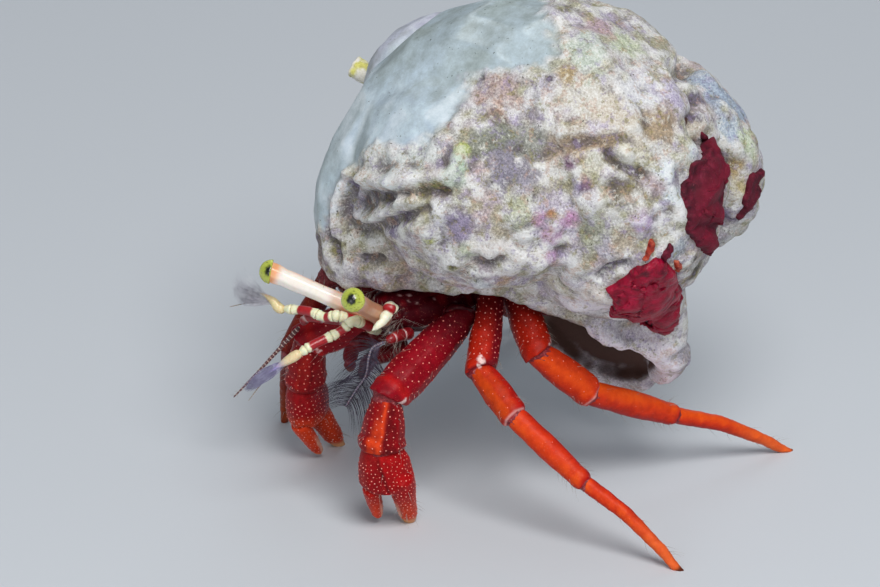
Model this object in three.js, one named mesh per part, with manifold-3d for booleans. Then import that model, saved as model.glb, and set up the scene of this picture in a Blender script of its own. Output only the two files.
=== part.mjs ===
// A small red reef hermit crab standing on six feet, carrying a worn, overgrown turban shell.
//
// Millimetres, +Z up. The crab looks along -Y and its left side is +X. The model is set out
// from a point on the floor below the thorax, and the last section moves the whole group so
// that the origin is the middle of the bounding box at floor level.
import * as THREE from 'three';
import { mergeVertices } from 'three/addons/utils/BufferGeometryUtils.js';
import Module from 'manifold-3d';

const wasm = await Module();
wasm.setup();

// ---------------------------------------------------------------------------------------
// Driving dimensions
// ---------------------------------------------------------------------------------------

const GAP = 0.1;              // clearance between neighbouring pieces
const FINEST = 0.004;         // slivers thinner than this are smoothed away
const LEG_SIDES = 8;          // facets round a leg segment
const HIP_REACH = 1.5;        // how far a limb's first segment runs from its hip into the body
const OVERSHOOT = 0.9;        // how far a segment runs past its joints before it is cut there

// Shell: one tube on a dextral spiral, whose every turn halves its size towards the apex.
const SHELL = {
  axisPoint: [4.0, 1.0, 17.6],      // a point on the axis, inside the last whorl
  axisToApex: [-0.02, 0.97, -0.17],
  growth: 1.6,                      // size ratio from one whorl to the next
  centreRadius: 5.5,                // axis to tube centre, at the end of the round tube
  tubeRadial: 4.8,                  // half size of the tube across the axis
  tubeAxial: 6.5,                   // half size of the tube along the axis
  apexHeight: 19.5,                 // tube centre to apex, along the axis
  lengths: [0, -0.45, -1.2, -2.0],  // turns at which the tube is parted to be built
  lapTurn: 0.04,                    // how far each length laps over the next
  mouthBulge: 1.1,                  // how far the last part of the whorl swells before the lip
  mouthSteps: 5,                    // rings from the end of the round tube to the lip
  wall: 0.9,
  sides: 18,
  stepsPerWhorl: 15,
  cavityWhorls: 0.75,
  cavityPastLip: 0.12,              // how far the hollow's cutter runs past the lip, as a share
};

// The lip of the shell's mouth, from its far side round the back to the near side and front.
const LIP = [
  [-5.7, 0.2, 10.7],
  [-5.0, 4.2, 9.2],
  [-2.4, 7.4, 6.0],
  [0.8, 8.5, 4.2],
  [3.9, 9.5, 4.0],
  [6.1, 10.0, 6.1],
  [6.9, 7.2, 8.1],
  [5.9, 3.4, 9.8],
  [4.0, 0.0, 11.7],
  [1.4, -3.2, 11.8],
  [-1.7, -5.5, 11.4],
  [-4.6, -4.4, 11.0],
];

// Crust that rounds the shell off, as ellipsoids: the base, a lobe on the right, the worn apex.
const CRUST = [
  { centre: [2.2, 0.8, 17.9], half: [7.4, 7.0, 6.1] },
  { centre: [-4.6, 2.8, 19.6], half: [3.4, 4.6, 3.6] },
  { centre: [3.6, 12.6, 15.6], half: [2.9, 2.8, 2.9] },
];

const WORM_TUBE = {
  from: [-6.6, 1.0, 18.9],
  to: [-8.2, 0.2, 19.4],
  radius: 0.5,
  boreRadius: 0.27,
  boreDepth: 0.5,
};

// Body. A section is [distance behind the forehead, share of the half width, share of the
// half height, how far it is lifted].
const BODY = {
  foreheadY: -4.5,
  midHeight: 10.2,
  halfWidth: 1.9,
  halfHeight: 1.3,
  sides: 16,
  shield: [[0, 0.5, 0.5, 0], [0.7, 0.78, 0.85, 0], [2.4, 0.95, 1, 0], [5.7, 1, 1, 0.1]],
  thorax: [[5.8, 1, 1, 0.1], [7.3, 1.05, 1.05, 0.2], [9.1, 0.9, 0.9, 0.5]],
};

// Soft abdomen: it follows the tube of the whorl, in two lengths.
const ABDOMEN = {
  clearance: 1.5,                   // narrower than the tube by this much all round
  partTurn: -0.22,                  // where it is parted, in turns
  endTurn: -0.66,
  tipTaper: 0.55,                   // share of its width that the tip loses
  steps: 6,
  neck: { scale: 0.42, lift: 1.6, setBack: 0.6 },     // where it leaves the thorax
  waist: { scale: 0.72, lift: 1.5 },                  // halfway from there to the tube
};

const EYE = {
  base: { L: [0.66, -4.6, 10.3], R: [-0.66, -4.45, 9.95] },
  yaw: { L: -55, R: -131 },
  pitch: { L: 33, R: 23 },
  stalkLength: 5.3,
  stalk: [[0, 0.5, 0.5], [0.12, 0.53, 0.53], [0.5, 0.46, 0.46], [0.85, 0.5, 0.5], [1, 0.53, 0.53]],
  corneaRadius: 0.56,
  corneaForward: 0.05,
  corneaSlant: 0.25,
};

// Feelers and mouthparts: points along the middle, then radii spread evenly along them.
const FEELERS = {
  antennule_base_L: [[[0.5, -4.75, 9.55], [0.75, -5.8, 10.3], [0.9, -6.65, 10.75], [0.75, -7.3, 10.3],
    [0.4, -8.7, 9.8], [0.2, -9.4, 9.42]], [0.3, 0.3, 0.27, 0.27, 0.25]],
  antennule_brush_L: [[[0.15, -9.5, 9.36], [-0.1, -10.0, 9.05], [-0.55, -10.75, 8.5], [-1.2, -11.5, 7.3]],
    [0.26, 0.32, 0.3, 0.25]],
  antennule_base_R: [[[-0.45, -4.75, 9.5], [-0.75, -5.5, 9.95], [-1.1, -6.25, 10.2], [-1.7, -6.55, 10.0],
    [-2.6, -6.95, 10.1], [-3.8, -7.6, 9.95]], [0.3, 0.3, 0.27, 0.27, 0.25]],
  antennule_brush_R: [[[-3.92, -7.66, 9.97], [-4.4, -8.0, 10.3], [-5.1, -8.5, 10.5], [-5.9, -9.1, 10.6]],
    [0.26, 0.45, 0.42, 0.25]],
  acicle_L: [[[1.4, -3.95, 10.45], [1.9, -4.7, 10.7], [2.35, -5.55, 10.85], [2.0, -6.55, 10.65]],
    [0.3, 0.3, 0.3, 0.25]],
  acicle_R: [[[-1.4, -4.0, 9.95], [-1.95, -4.85, 9.95], [-1.85, -5.65, 9.55]], [0.28, 0.28, 0.25]],
  antenna_base_L: [[[1.55, -3.5, 9.55], [1.75, -4.4, 9.7], [1.9, -5.3, 9.7]], [0.34, 0.32, 0.27]],
  antenna_whip_L: [[[1.91, -5.4, 9.68], [1.85, -5.8, 9.1], [1.5, -6.5, 7.9], [1.1, -7.25, 6.3]],
    [0.25, 0.25]],
  antenna_base_R: [[[-1.55, -4.1, 9.2], [-2.7, -5.4, 9.25], [-3.8, -6.05, 9.1], [-4.0, -6.4, 8.7]],
    [0.34, 0.32, 0.3, 0.27]],
  antenna_whip_R: [[[-4.03, -6.5, 8.58], [-4.35, -7.2, 7.75], [-4.85, -8.35, 6.4], [-5.4, -9.6, 5.0]],
    [0.25, 0.25]],
  maxilliped_L: [[[0.75, -3.4, 8.9], [0.95, -4.6, 8.5], [0.85, -5.6, 8.3], [0.6, -5.9, 7.3]],
    [0.5, 0.48, 0.4, 0.28]],
  maxilliped_R: [[[-0.75, -3.4, 8.9], [-0.95, -4.6, 8.5], [-0.85, -5.5, 8.2], [-0.6, -5.8, 7.2]],
    [0.5, 0.48, 0.4, 0.28]],
};

// The two small pairs of legs that hold the shell from inside.
const SMALL_LEGS = {
  leg_4_L: [[[1.5, 3.2, 10.0], [2.6, 3.7, 9.5], [3.3, 4.6, 9.6], [3.4, 5.6, 10.2]], [0.5, 0.42, 0.3]],
  leg_4_R: [[[-1.5, 3.3, 10.0], [-2.7, 4.0, 9.9], [-3.3, 4.9, 10.0], [-3.3, 5.8, 10.4]],
    [0.5, 0.42, 0.3]],
  leg_5_L: [[[1.1, 4.4, 10.0], [1.9, 5.3, 9.7], [2.3, 6.2, 10.1]], [0.4, 0.34, 0.27]],
  leg_5_R: [[[-1.1, 4.4, 10.0], [-1.8, 5.4, 9.7], [-2.0, 6.4, 10.0]], [0.4, 0.34, 0.27]],
};

// Limb segments from the body outwards. A station is [fraction along, half width, half height].
const CHELIPED = {
  lengths: { merus: 5.7, carpus: 2.75, palm: 2.4 },
  ischium: [[0, 0.75, 0.8], [1, 0.8, 0.85]],
  merus: [[0, 0.8, 0.85], [0.3, 1.0, 1.05], [0.75, 1.12, 1.15], [1, 1.0, 1.05]],
  carpus: [[0, 0.72, 0.75], [0.45, 1.05, 1.0], [0.9, 1.22, 1.05], [1, 1.15, 1.0]],
  palm: [[0, 1.0, 0.8], [0.35, 1.36, 1.05], [0.75, 1.42, 1.0], [1, 1.3, 0.85]],
  fixedFinger: [[0, 0.74, 0.8], [0.35, 0.6, 0.7], [0.8, 0.5, 0.55], [1, 0.3, 0.32]],
  finger: [[0, 0.46, 0.55], [0.5, 0.4, 0.48], [0.85, 0.3, 0.34], [1, 0.26, 0.28]],
  fixedFingerShift: 0.68,           // towards the palm's outer edge, from its middle to the finger's
  fingerShift: -0.84,
  fixedFingerLength: 2.75,
  fingerLength: 2.1,
  fingerRoot: 0.35,                 // how far the movable finger starts behind the knuckle
  fingerTip: 0.4,                   // how far the fixed finger runs past the floor, to be cut
  fingerClosing: 0.02,              // how far each finger leans towards the other
  face: [0.75, -0.52, 0.4],         // the way the back of the left palm looks
};
const DACTYL_BOW = 0.35;            // how high a walking leg's last segment arches

const LEG_2 = {
  lengths: { merus: 4.2, carpus: 3.05, propodus: 4.76, dactyl: 6.26 },
  ischium: [[0, 0.62, 0.7], [1, 0.66, 0.78]],
  merus: [[0, 0.68, 0.8], [0.5, 0.85, 1.05], [1, 0.82, 0.95]],
  carpus: [[0, 0.62, 0.7], [0.5, 0.74, 0.85], [1, 0.72, 0.8]],
  propodus: [[0, 0.56, 0.62], [0.5, 0.6, 0.66], [1, 0.5, 0.54]],
  dactyl: [[0, 0.4, 0.44], [0.4, 0.38, 0.4], [0.8, 0.3, 0.32], [1, 0.26, 0.27]],
};

const LEG_3 = {
  lengths: { merus: 3.3, carpus: 3.6, propodus: 5.6, dactyl: 7.4 },
  ischium: [[0, 0.62, 0.7], [1, 0.68, 0.78]],
  merus: [[0, 0.72, 0.82], [0.5, 0.9, 1.05], [1, 0.85, 0.95]],
  carpus: [[0, 0.65, 0.7], [0.5, 0.78, 0.88], [1, 0.76, 0.84]],
  propodus: [[0, 0.6, 0.66], [0.5, 0.66, 0.72], [1, 0.54, 0.58]],
  dactyl: [[0, 0.42, 0.46], [0.4, 0.4, 0.42], [0.8, 0.3, 0.32], [1, 0.26, 0.27]],
};

// Pose: the hip, where the limb leaves the body, and [yaw, pitch] in degrees for each segment.
// The last segment's pitch isn't given, because it is the one that brings the foot to the floor.
const POSE = {
  cheliped_L: { hip: [2.5, -1.3, 10.0], turns: [[-79, -26], [-122, -83], [92, -79]], tipYaw: 128 },
  cheliped_R: { hip: [-2.0, -1.1, 9.7], turns: [[-125, -26], [161, -72], [127, -75]], tipYaw: 98 },
  leg_2_L: { hip: [2.5, 0.65, 10.7], turns: [[-44, -36], [6, -31], [28, -36]], tipYaw: 33 },
  leg_2_R: { hip: [-2.2, 0.9, 9.8], turns: [[-164, -23], [-104, 29], [-125, -62]], tipYaw: 150 },
  leg_3_L: { hip: [2.5, 2.2, 10.5], turns: [[-9, -42], [67, -42], [87, -26]], tipYaw: 83 },
  leg_3_R: { hip: [-2.3, 2.6, 9.8], turns: [[172, -30], [150, -22], [125, -34]], tipYaw: 112 },
};

const COLOUR = {
  shell: 0xb9b2a6,
  crimson: 0x7d0a18,
  red: 0xc4161c,
  orange: 0xe0451a,
  stalk: 0xf2e6d6,
  cornea: 0xb9c24a,
  cream: 0xdfe0b8,
  skin: 0xa85a4a,
};

// ---------------------------------------------------------------------------------------
// Geometry helpers
// ---------------------------------------------------------------------------------------

const UP = new THREE.Vector3(0, 0, 1);

function vector(values) {
  return new THREE.Vector3(...values);
}

function direction(yaw, pitch) {
  const a = THREE.MathUtils.degToRad(yaw);
  const b = THREE.MathUtils.degToRad(pitch);
  return new THREE.Vector3(Math.cos(a) * Math.cos(b), Math.sin(a) * Math.cos(b), Math.sin(b));
}

/** A closed solid through rings that all have the same number of points. */
function loft(rings) {
  const sides = rings[0].length;
  const points = rings.flat();
  const faces = [];
  for (let i = 0; i < rings.length - 1; i += 1) {
    for (let j = 0; j < sides; j += 1) {
      const k = (j + 1) % sides;
      const [a, b, c, d] = [i * sides + j, i * sides + k, (i + 1) * sides + k, (i + 1) * sides + j];
      faces.push(a, b, c, a, c, d);
    }
  }
  for (const [ring, start] of [[rings[0], 0], [rings.at(-1), (rings.length - 1) * sides]]) {
    const centre = new THREE.Vector3();
    ring.forEach((point) => centre.addScaledVector(point, 1 / sides));
    points.push(centre);
    for (let j = 0; j < sides; j += 1) {
      const pair = [start + j, start + ((j + 1) % sides)];
      if (start === 0) pair.reverse();
      faces.push(pair[0], pair[1], points.length - 1);
    }
  }
  return toSolid(points, faces);
}

/** Turns points and faces into a manifold solid, with its faces pointing out. */
function toSolid(points, faces) {
  let volume = 0;
  for (let i = 0; i < faces.length; i += 3) {
    const [a, b, c] = [points[faces[i]], points[faces[i + 1]], points[faces[i + 2]]];
    volume += a.dot(b.clone().cross(c));
  }
  const order = volume > 0 ? faces : faces.slice().reverse();
  return new wasm.Manifold(new wasm.Mesh({
    numProp: 3,
    vertProperties: new Float32Array(points.flatMap((point) => point.toArray())),
    triVerts: new Uint32Array(order),
  }));
}

/** Keeps the side of a plane that its normal points to, less a set-back. */
function keepSide(solid, normal, point, setBack = 0) {
  const unit = normal.clone().normalize();
  return solid.trimByPlane(unit.toArray(), unit.dot(point) + setBack);
}

/** Width and height directions across a piece that runs along one direction. */
function crossAxes(along, top = UP) {
  const wide = along.clone().cross(top).normalize();
  const high = wide.clone().cross(along).normalize();
  return { wide, high };
}

function ellipseRing(centre, wide, high, halfWidth, halfHeight, sides) {
  const ring = [];
  for (let j = 0; j < sides; j += 1) {
    const angle = (2 * Math.PI * j) / sides;
    ring.push(centre.clone()
      .addScaledVector(wide, halfWidth * Math.cos(angle))
      .addScaledVector(high, halfHeight * Math.sin(angle)));
  }
  return ring;
}

/** A closed ellipsoid, round or not. */
function ellipsoid(centre, half) {
  const geometry = new THREE.SphereGeometry(1, 14, 8);
  geometry.deleteAttribute('normal');
  geometry.deleteAttribute('uv');
  const ball = mergeVertices(geometry, 0.001);
  const position = ball.getAttribute('position');
  const points = [];
  for (let i = 0; i < position.count; i += 1) {
    points.push(new THREE.Vector3().fromBufferAttribute(position, i).multiply(vector(half)).add(centre));
  }
  return toSolid(points, Array.from(ball.index.array));
}

function middleOf(ring) {
  const middle = new THREE.Vector3();
  ring.forEach((point) => middle.addScaledVector(point, 1 / ring.length));
  return middle;
}

/** A tapering rod through stations, which runs past both its ends by the overshoots. */
function rod({ from, to, stations, top = UP, bow = 0, shift = 0, before = 0, after = 0, grow = 0 }) {
  const along = to.clone().sub(from);
  const length = along.length();
  along.normalize();
  const { wide, high } = crossAxes(along, top);
  const first = [-before / length, stations[0][1], stations[0][2]];
  const last = [1 + after / length, stations.at(-1)[1], stations.at(-1)[2]];
  const all = [...(before ? [first] : []), ...stations, ...(after ? [last] : [])];
  return loft(all.map(([fraction, halfWidth, halfHeight]) => {
    const arch = bow * Math.sin(Math.PI * THREE.MathUtils.clamp(fraction, 0, 1));
    const centre = from.clone()
      .addScaledVector(along, fraction * length)
      .addScaledVector(high, arch)
      .addScaledVector(wide, shift);
    return ellipseRing(centre, wide, high, halfWidth + grow, halfHeight + grow, LEG_SIDES);
  }));
}

/** A round-ended worm through points, for feelers and mouthparts. */
function worm(points, radii, grow = 0, sides = 8) {
  const curve = new THREE.CatmullRomCurve3(points.map(vector), false, 'centripetal');
  const steps = 2 * (points.length - 1);
  const rings = [];
  for (let i = 0; i <= steps; i += 1) {
    const t = i / steps;
    const place = t * (radii.length - 1);
    const k = Math.min(Math.floor(place), radii.length - 2);
    const radius = THREE.MathUtils.lerp(radii[k], radii[k + 1], place - k) + grow;
    const along = curve.getTangent(t);
    const { wide, high } = crossAxes(along, Math.abs(along.z) > 0.95 ? vector([0, 1, 0]) : UP);
    rings.push(ellipseRing(curve.getPoint(t), wide, high, radius, radius, sides));
  }
  return loft(rings);
}

// ---------------------------------------------------------------------------------------
// The list of pieces
// ---------------------------------------------------------------------------------------

const crab = new THREE.Group();
const pieces = new Map();

/** Drops the crumbs that a cut by a neighbour can leave. */
function largestBody(solid) {
  return solid.decompose().sort((a, b) => b.volume() - a.volume())[0];
}

/** Adds a named piece. `build(grow)` makes it, or makes it fatter to cut room in a neighbour. */
function addPiece(name, colour, build, neighbours = []) {
  let solid = build(0);
  for (const neighbour of neighbours) solid = solid.subtract(pieces.get(neighbour)(GAP));
  solid = largestBody(solid).simplify(FINEST);
  pieces.set(name, build);
  const mesh = solid.getMesh();
  const geometry = new THREE.BufferGeometry();
  geometry.setAttribute('position', new THREE.BufferAttribute(mesh.vertProperties.slice(), 3));
  geometry.setIndex(new THREE.BufferAttribute(mesh.triVerts.slice(), 1));
  geometry.computeVertexNormals();
  const material = new THREE.MeshStandardMaterial({ color: colour, roughness: 0.5 });
  const part = new THREE.Mesh(geometry, material);
  part.name = name;
  crab.add(part);
}

// ---------------------------------------------------------------------------------------
// Shell
// ---------------------------------------------------------------------------------------

const axis = vector(SHELL.axisToApex).normalize();
const outward = vector([-1, 0, 0]).addScaledVector(axis, axis.x).normalize();
const upward = axis.clone().cross(outward).normalize();
if (upward.z < 0) upward.negate();

/** One ring of the spiral tube; turn 0 is the end of the round tube, and -1 a whorl earlier. */
function whorlRing(turn, inset) {
  const size = SHELL.growth ** turn;
  const angle = -2 * Math.PI * turn;
  const radial = outward.clone().multiplyScalar(Math.cos(angle)).addScaledVector(upward, Math.sin(angle));
  const height = SHELL.apexHeight * (1 - size);
  const centre = vector(SHELL.axisPoint)
    .addScaledVector(axis, height)
    .addScaledVector(radial, SHELL.centreRadius * size);
  const halfRadial = SHELL.tubeRadial * size - inset;
  const halfAxial = SHELL.tubeAxial * size - inset;
  return ellipseRing(centre, radial, axis, halfRadial, halfAxial, SHELL.sides);
}

/** The lip as a ring with as many points as a whorl ring, drawn in towards its middle. */
function lipRing(inset) {
  const curve = new THREE.CatmullRomCurve3(LIP.map(vector), true, 'centripetal');
  const ring = curve.getPoints(SHELL.sides).slice(0, SHELL.sides);
  const middle = middleOf(ring);
  return ring.map((point) => {
    const inwards = middle.clone().sub(point).normalize();
    return point.clone().addScaledVector(inwards, inset);
  });
}

/** Rings from the end of the round tube down to the lip, and a little past it for a cut. */
function mouthRings(inset, past) {
  const start = whorlRing(0, inset);
  const end = lipRing(inset);
  const rings = [];
  for (let i = 1; i <= SHELL.mouthSteps; i += 1) {
    const t = (i / SHELL.mouthSteps) * (1 + past);
    const ring = start.map((point, j) => point.clone().lerp(end[j], t));
    const middle = middleOf(ring);
    const swell = SHELL.mouthBulge * Math.sin(Math.PI * Math.min(t, 1));
    rings.push(ring.map((point) => {
      const outwards = point.clone().sub(middle).normalize();
      return point.addScaledVector(outwards, swell);
    }));
  }
  return rings;
}

function spiralRings(fromTurn, toTurn, inset) {
  const steps = Math.round(Math.abs(toTurn - fromTurn) * SHELL.stepsPerWhorl);
  const rings = [];
  for (let i = 0; i <= steps; i += 1) {
    rings.push(whorlRing(THREE.MathUtils.lerp(fromTurn, toTurn, i / steps), inset));
  }
  return rings;
}

/** A length of the spiral tube. */
function spiralLength(fromTurn, toTurn, inset) {
  return loft(spiralRings(fromTurn, toTurn, inset));
}

/** The last length of the tube, with the mouth on its end. */
function mouthLength(inset, past) {
  return loft([...spiralRings(SHELL.lengths[1], 0, inset), ...mouthRings(inset, past)]);
}

/** The shell's outer form: lengths of less than a whorl each, joined where they overlap. */
function shellBody() {
  let body = mouthLength(0, 0);
  for (let i = 1; i < SHELL.lengths.length - 1; i += 1) {
    body = body.add(spiralLength(SHELL.lengths[i + 1], SHELL.lengths[i] + SHELL.lapTurn, 0));
  }
  for (const { centre, half } of CRUST) body = body.add(ellipsoid(vector(centre), half));
  return body;
}

/** The hollow that the crab lives in. */
function shellCavity() {
  const deep = spiralLength(-SHELL.cavityWhorls, SHELL.lengths[1] + SHELL.lapTurn, SHELL.wall);
  return mouthLength(SHELL.wall, SHELL.cavityPastLip).add(deep);
}

// ---------------------------------------------------------------------------------------
// Body
// ---------------------------------------------------------------------------------------

/** A length of the body through its sections. */
function trunk(sections) {
  return (grow) => loft(sections.map(([back, widthShare, heightShare, lift]) => ellipseRing(
    new THREE.Vector3(0, BODY.foreheadY + back, BODY.midHeight + lift),
    new THREE.Vector3(1, 0, 0),
    UP,
    widthShare * BODY.halfWidth + grow,
    heightShare * BODY.halfHeight + grow,
    BODY.sides,
  )));
}

addPiece('shield', COLOUR.crimson, trunk(BODY.shield));
addPiece('thorax', COLOUR.crimson, trunk(BODY.thorax));

// ---------------------------------------------------------------------------------------
// Limbs
// ---------------------------------------------------------------------------------------

/** Joint points of a limb, from inside the body: its root, its hip, and each segment's end. */
function limbJoints(pose, lengths) {
  const hip = vector(pose.hip);
  const inwards = new THREE.Vector3(-Math.sign(hip.x), 0, -0.1).normalize();
  const joints = [hip.clone().addScaledVector(inwards, HIP_REACH), hip];
  Object.values(lengths).slice(0, pose.turns.length).forEach((length, i) => {
    joints.push(joints.at(-1).clone().addScaledVector(direction(...pose.turns[i]), length));
  });
  return joints;
}

/** The point on the floor that a last segment of this length reaches. */
function floorPoint(from, length, yaw) {
  const pitch = -THREE.MathUtils.radToDeg(Math.asin(from.z / length));
  return from.clone().addScaledVector(direction(yaw, pitch), length);
}

/** Cuts a segment along the plane that halves the bend at each of its joints. */
function fitBetween(solid, joints, i) {
  const along = joints[i + 1].clone().sub(joints[i]).normalize();
  let fitted = solid;
  if (i > 0) {
    const before = joints[i].clone().sub(joints[i - 1]).normalize();
    fitted = keepSide(fitted, along.clone().add(before), joints[i], GAP / 2);
  }
  if (i < joints.length - 2) {
    const after = joints[i + 2].clone().sub(joints[i + 1]).normalize();
    fitted = keepSide(fitted, along.clone().add(after).negate(), joints[i + 1], GAP / 2);
  }
  return fitted;
}

/** The part of a piece that is above the floor. */
function aboveFloor(solid) {
  return keepSide(solid, UP, new THREE.Vector3());
}

/** A limb segment between joints i and i + 1, cut to fit its neighbours. */
function segment(joints, i, stations, options = {}) {
  return (grow) => aboveFloor(fitBetween(rod({
    from: joints[i],
    to: joints[i + 1],
    stations,
    before: i > 0 ? OVERSHOOT : 0,
    after: OVERSHOOT,
    grow,
    ...options,
  }), joints, i));
}

function addWalkingLeg(name, shape, neighbours) {
  const joints = limbJoints(POSE[name], shape.lengths);
  joints.push(floorPoint(joints.at(-1), shape.lengths.dactyl, POSE[name].tipYaw));
  ['ischium', 'merus', 'carpus', 'propodus', 'dactyl'].forEach((part, i) => {
    const colour = part === 'propodus' || part === 'dactyl' ? COLOUR.orange : COLOUR.red;
    const bow = part === 'dactyl' ? DACTYL_BOW : 0;
    const near = i < 2 ? neighbours : [];
    addPiece(`${name}_${part}`, colour, segment(joints, i, shape[part], { bow }), near);
  });
}

/** A claw arm, whose palm is flattened towards its outer side and carries two fingers. */
function addCheliped(name, side) {
  const pose = POSE[name];
  const { lengths } = CHELIPED;
  const joints = limbJoints(pose, lengths);
  joints.push(floorPoint(joints.at(-1), CHELIPED.fixedFingerLength, pose.tipYaw));
  const face = new THREE.Vector3(side * CHELIPED.face[0], CHELIPED.face[1], CHELIPED.face[2]);
  addPiece(`${name}_ischium`, COLOUR.crimson, segment(joints, 0, CHELIPED.ischium), ['shield', 'thorax']);
  addPiece(`${name}_merus`, COLOUR.red, segment(joints, 1, CHELIPED.merus), ['shield', 'thorax']);
  addPiece(`${name}_carpus`, COLOUR.red, segment(joints, 2, CHELIPED.carpus, { top: face }));

  const [wrist, knuckle, tip] = joints.slice(3);
  const { wide } = crossAxes(knuckle.clone().sub(wrist).normalize(), face);
  const outwards = wide.multiplyScalar(-side);
  const along = tip.clone().sub(knuckle).normalize();
  const outer = knuckle.clone().addScaledVector(outwards, CHELIPED.fixedFingerShift);
  const inner = knuckle.clone().addScaledVector(outwards, CHELIPED.fingerShift);
  const outerTip = outer.clone().add(tip).sub(knuckle)
    .addScaledVector(outwards, -CHELIPED.fingerClosing);
  const innerTip = inner.clone().addScaledVector(along, CHELIPED.fingerLength)
    .addScaledVector(outwards, CHELIPED.fingerClosing);
  const palm = segment(joints, 3, CHELIPED.palm, { top: face, after: 0 });
  const fixedFinger = (grow) => aboveFloor(rod({
    from: outer,
    to: outerTip,
    stations: CHELIPED.fixedFinger,
    top: face,
    before: OVERSHOOT,
    after: CHELIPED.fingerTip,
    grow,
  }));
  const finger = (grow) => aboveFloor(rod({
    from: inner,
    to: innerTip,
    stations: CHELIPED.finger,
    top: face,
    before: CHELIPED.fingerRoot,
    grow,
  }));
  addPiece(`${name}_finger`, COLOUR.red, finger);
  addPiece(`${name}_palm`, COLOUR.red, (grow) => palm(grow).add(fixedFinger(grow)), [`${name}_finger`]);
}

addCheliped('cheliped_L', 1);
addCheliped('cheliped_R', -1);
for (const side of ['L', 'R']) {
  const claw = [`cheliped_${side}_ischium`, `cheliped_${side}_merus`];
  const leg2 = [`leg_2_${side}_ischium`, `leg_2_${side}_merus`];
  addWalkingLeg(`leg_2_${side}`, LEG_2, ['shield', 'thorax', ...claw]);
  addWalkingLeg(`leg_3_${side}`, LEG_3, ['shield', 'thorax', ...leg2]);
}

for (const [name, [points, radii]] of Object.entries(SMALL_LEGS)) {
  const side = name.at(-1);
  addPiece(name, COLOUR.crimson, (grow) => worm(points, radii, grow), [
    'thorax',
    `leg_3_${side}_ischium`,
    `leg_3_${side}_merus`,
    ...(name.startsWith('leg_5') ? [`leg_4_${side}`] : []),
  ]);
}

// ---------------------------------------------------------------------------------------
// Head
// ---------------------------------------------------------------------------------------

for (const side of ['L', 'R']) {
  const base = vector(EYE.base[side]);
  const along = direction(EYE.yaw[side], EYE.pitch[side]);
  const end = base.clone().addScaledVector(along, EYE.stalkLength);
  const cut = along.clone().addScaledVector(UP, -EYE.corneaSlant);
  const others = side === 'R' ? ['eyestalk_L'] : [];
  addPiece(`eyestalk_${side}`, COLOUR.stalk, (grow) => keepSide(
    rod({ from: base, to: end, stations: EYE.stalk, after: OVERSHOOT, grow }),
    cut.clone().negate(),
    end,
    GAP / 2,
  ), ['shield', ...others]);
  addPiece(`eye_${side}`, COLOUR.cornea, (grow) => {
    const size = EYE.corneaRadius + grow;
    const ball = ellipsoid(end.clone().addScaledVector(along, EYE.corneaForward), [size, size, size]);
    return keepSide(ball, cut, end, GAP / 2);
  });
}

const feelerNames = Object.keys(FEELERS);
feelerNames.forEach((name, i) => {
  const [points, radii] = FEELERS[name];
  const colour = name.startsWith('maxilliped') ? COLOUR.crimson : COLOUR.cream;
  addPiece(name, colour, (grow) => worm(points, radii, grow), [
    'shield',
    'eyestalk_L',
    'eyestalk_R',
    'cheliped_L_merus',
    'cheliped_R_merus',
    ...feelerNames.slice(0, i),
  ]);
});

// ---------------------------------------------------------------------------------------
// Abdomen, shell and the worm tube on it
// ---------------------------------------------------------------------------------------

/** A ring made smaller and put somewhere else. */
function ringAt(ring, centre, scale) {
  const middle = middleOf(ring);
  return ring.map((point) => point.clone().sub(middle).multiplyScalar(scale).add(centre));
}

/** The abdomen between two turns of the whorl's tube. */
function abdomenRings(fromTurn, toTurn, grow) {
  const rings = [];
  for (let i = 0; i <= ABDOMEN.steps; i += 1) {
    const turn = THREE.MathUtils.lerp(fromTurn, toTurn, i / ABDOMEN.steps);
    const ring = whorlRing(turn, ABDOMEN.clearance - grow);
    rings.push(ringAt(ring, middleOf(ring), 1 - ABDOMEN.tipTaper * (turn / ABDOMEN.endTurn) ** 2));
  }
  return rings;
}

/** The abdomen's first length, with the neck that joins it to the thorax. */
function abdomenFront(grow) {
  const rings = abdomenRings(0, ABDOMEN.partTurn, grow);
  const { neck, waist } = ABDOMEN;
  const thoraxEnd = BODY.foreheadY + BODY.thorax.at(-1)[0];
  const neckPoint = new THREE.Vector3(0, thoraxEnd - neck.setBack, BODY.midHeight + neck.lift);
  const waistPoint = new THREE.Vector3(0, thoraxEnd, BODY.midHeight + waist.lift)
    .lerp(middleOf(rings[0]), 0.5);
  return loft([
    ringAt(rings[0], neckPoint, neck.scale),
    ringAt(rings[0], waistPoint, waist.scale),
    ...rings,
  ]);
}

/** The abdomen's coiled end. */
function abdomenRear(grow) {
  return loft(abdomenRings(ABDOMEN.partTurn - GAP / SHELL.tubeAxial, ABDOMEN.endTurn, grow));
}

/** The pieces on both sides whose names end in these. */
function bothSides(...endings) {
  return ['L', 'R'].flatMap((side) => endings.map((ending) => ending.replace('*', side)));
}

addPiece('abdomen_front', COLOUR.skin, abdomenFront, [
  'thorax',
  'shield',
  ...bothSides('leg_3_*_ischium', 'leg_2_*_ischium', 'leg_3_*_merus', 'leg_4_*', 'leg_5_*'),
]);
addPiece('abdomen_rear', COLOUR.skin, abdomenRear);

/** The worm tube's outside, or the bore that its mouth opens into. */
function wormTube(radius, overshoot) {
  return rod({
    from: vector(WORM_TUBE.from),
    to: vector(WORM_TUBE.to),
    stations: [[0, radius, radius], [1, radius, radius]],
    after: overshoot,
  });
}

addPiece('worm_tube', COLOUR.cream, (grow) => {
  const wall = wormTube(WORM_TUBE.radius + grow, 0);
  const mouth = vector(WORM_TUBE.to);
  const inwards = mouth.clone().sub(vector(WORM_TUBE.from));
  const bore = keepSide(wormTube(WORM_TUBE.boreRadius, OVERSHOOT), inwards, mouth, -WORM_TUBE.boreDepth);
  return grow > 0 ? wall : wall.subtract(bore);
});

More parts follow.
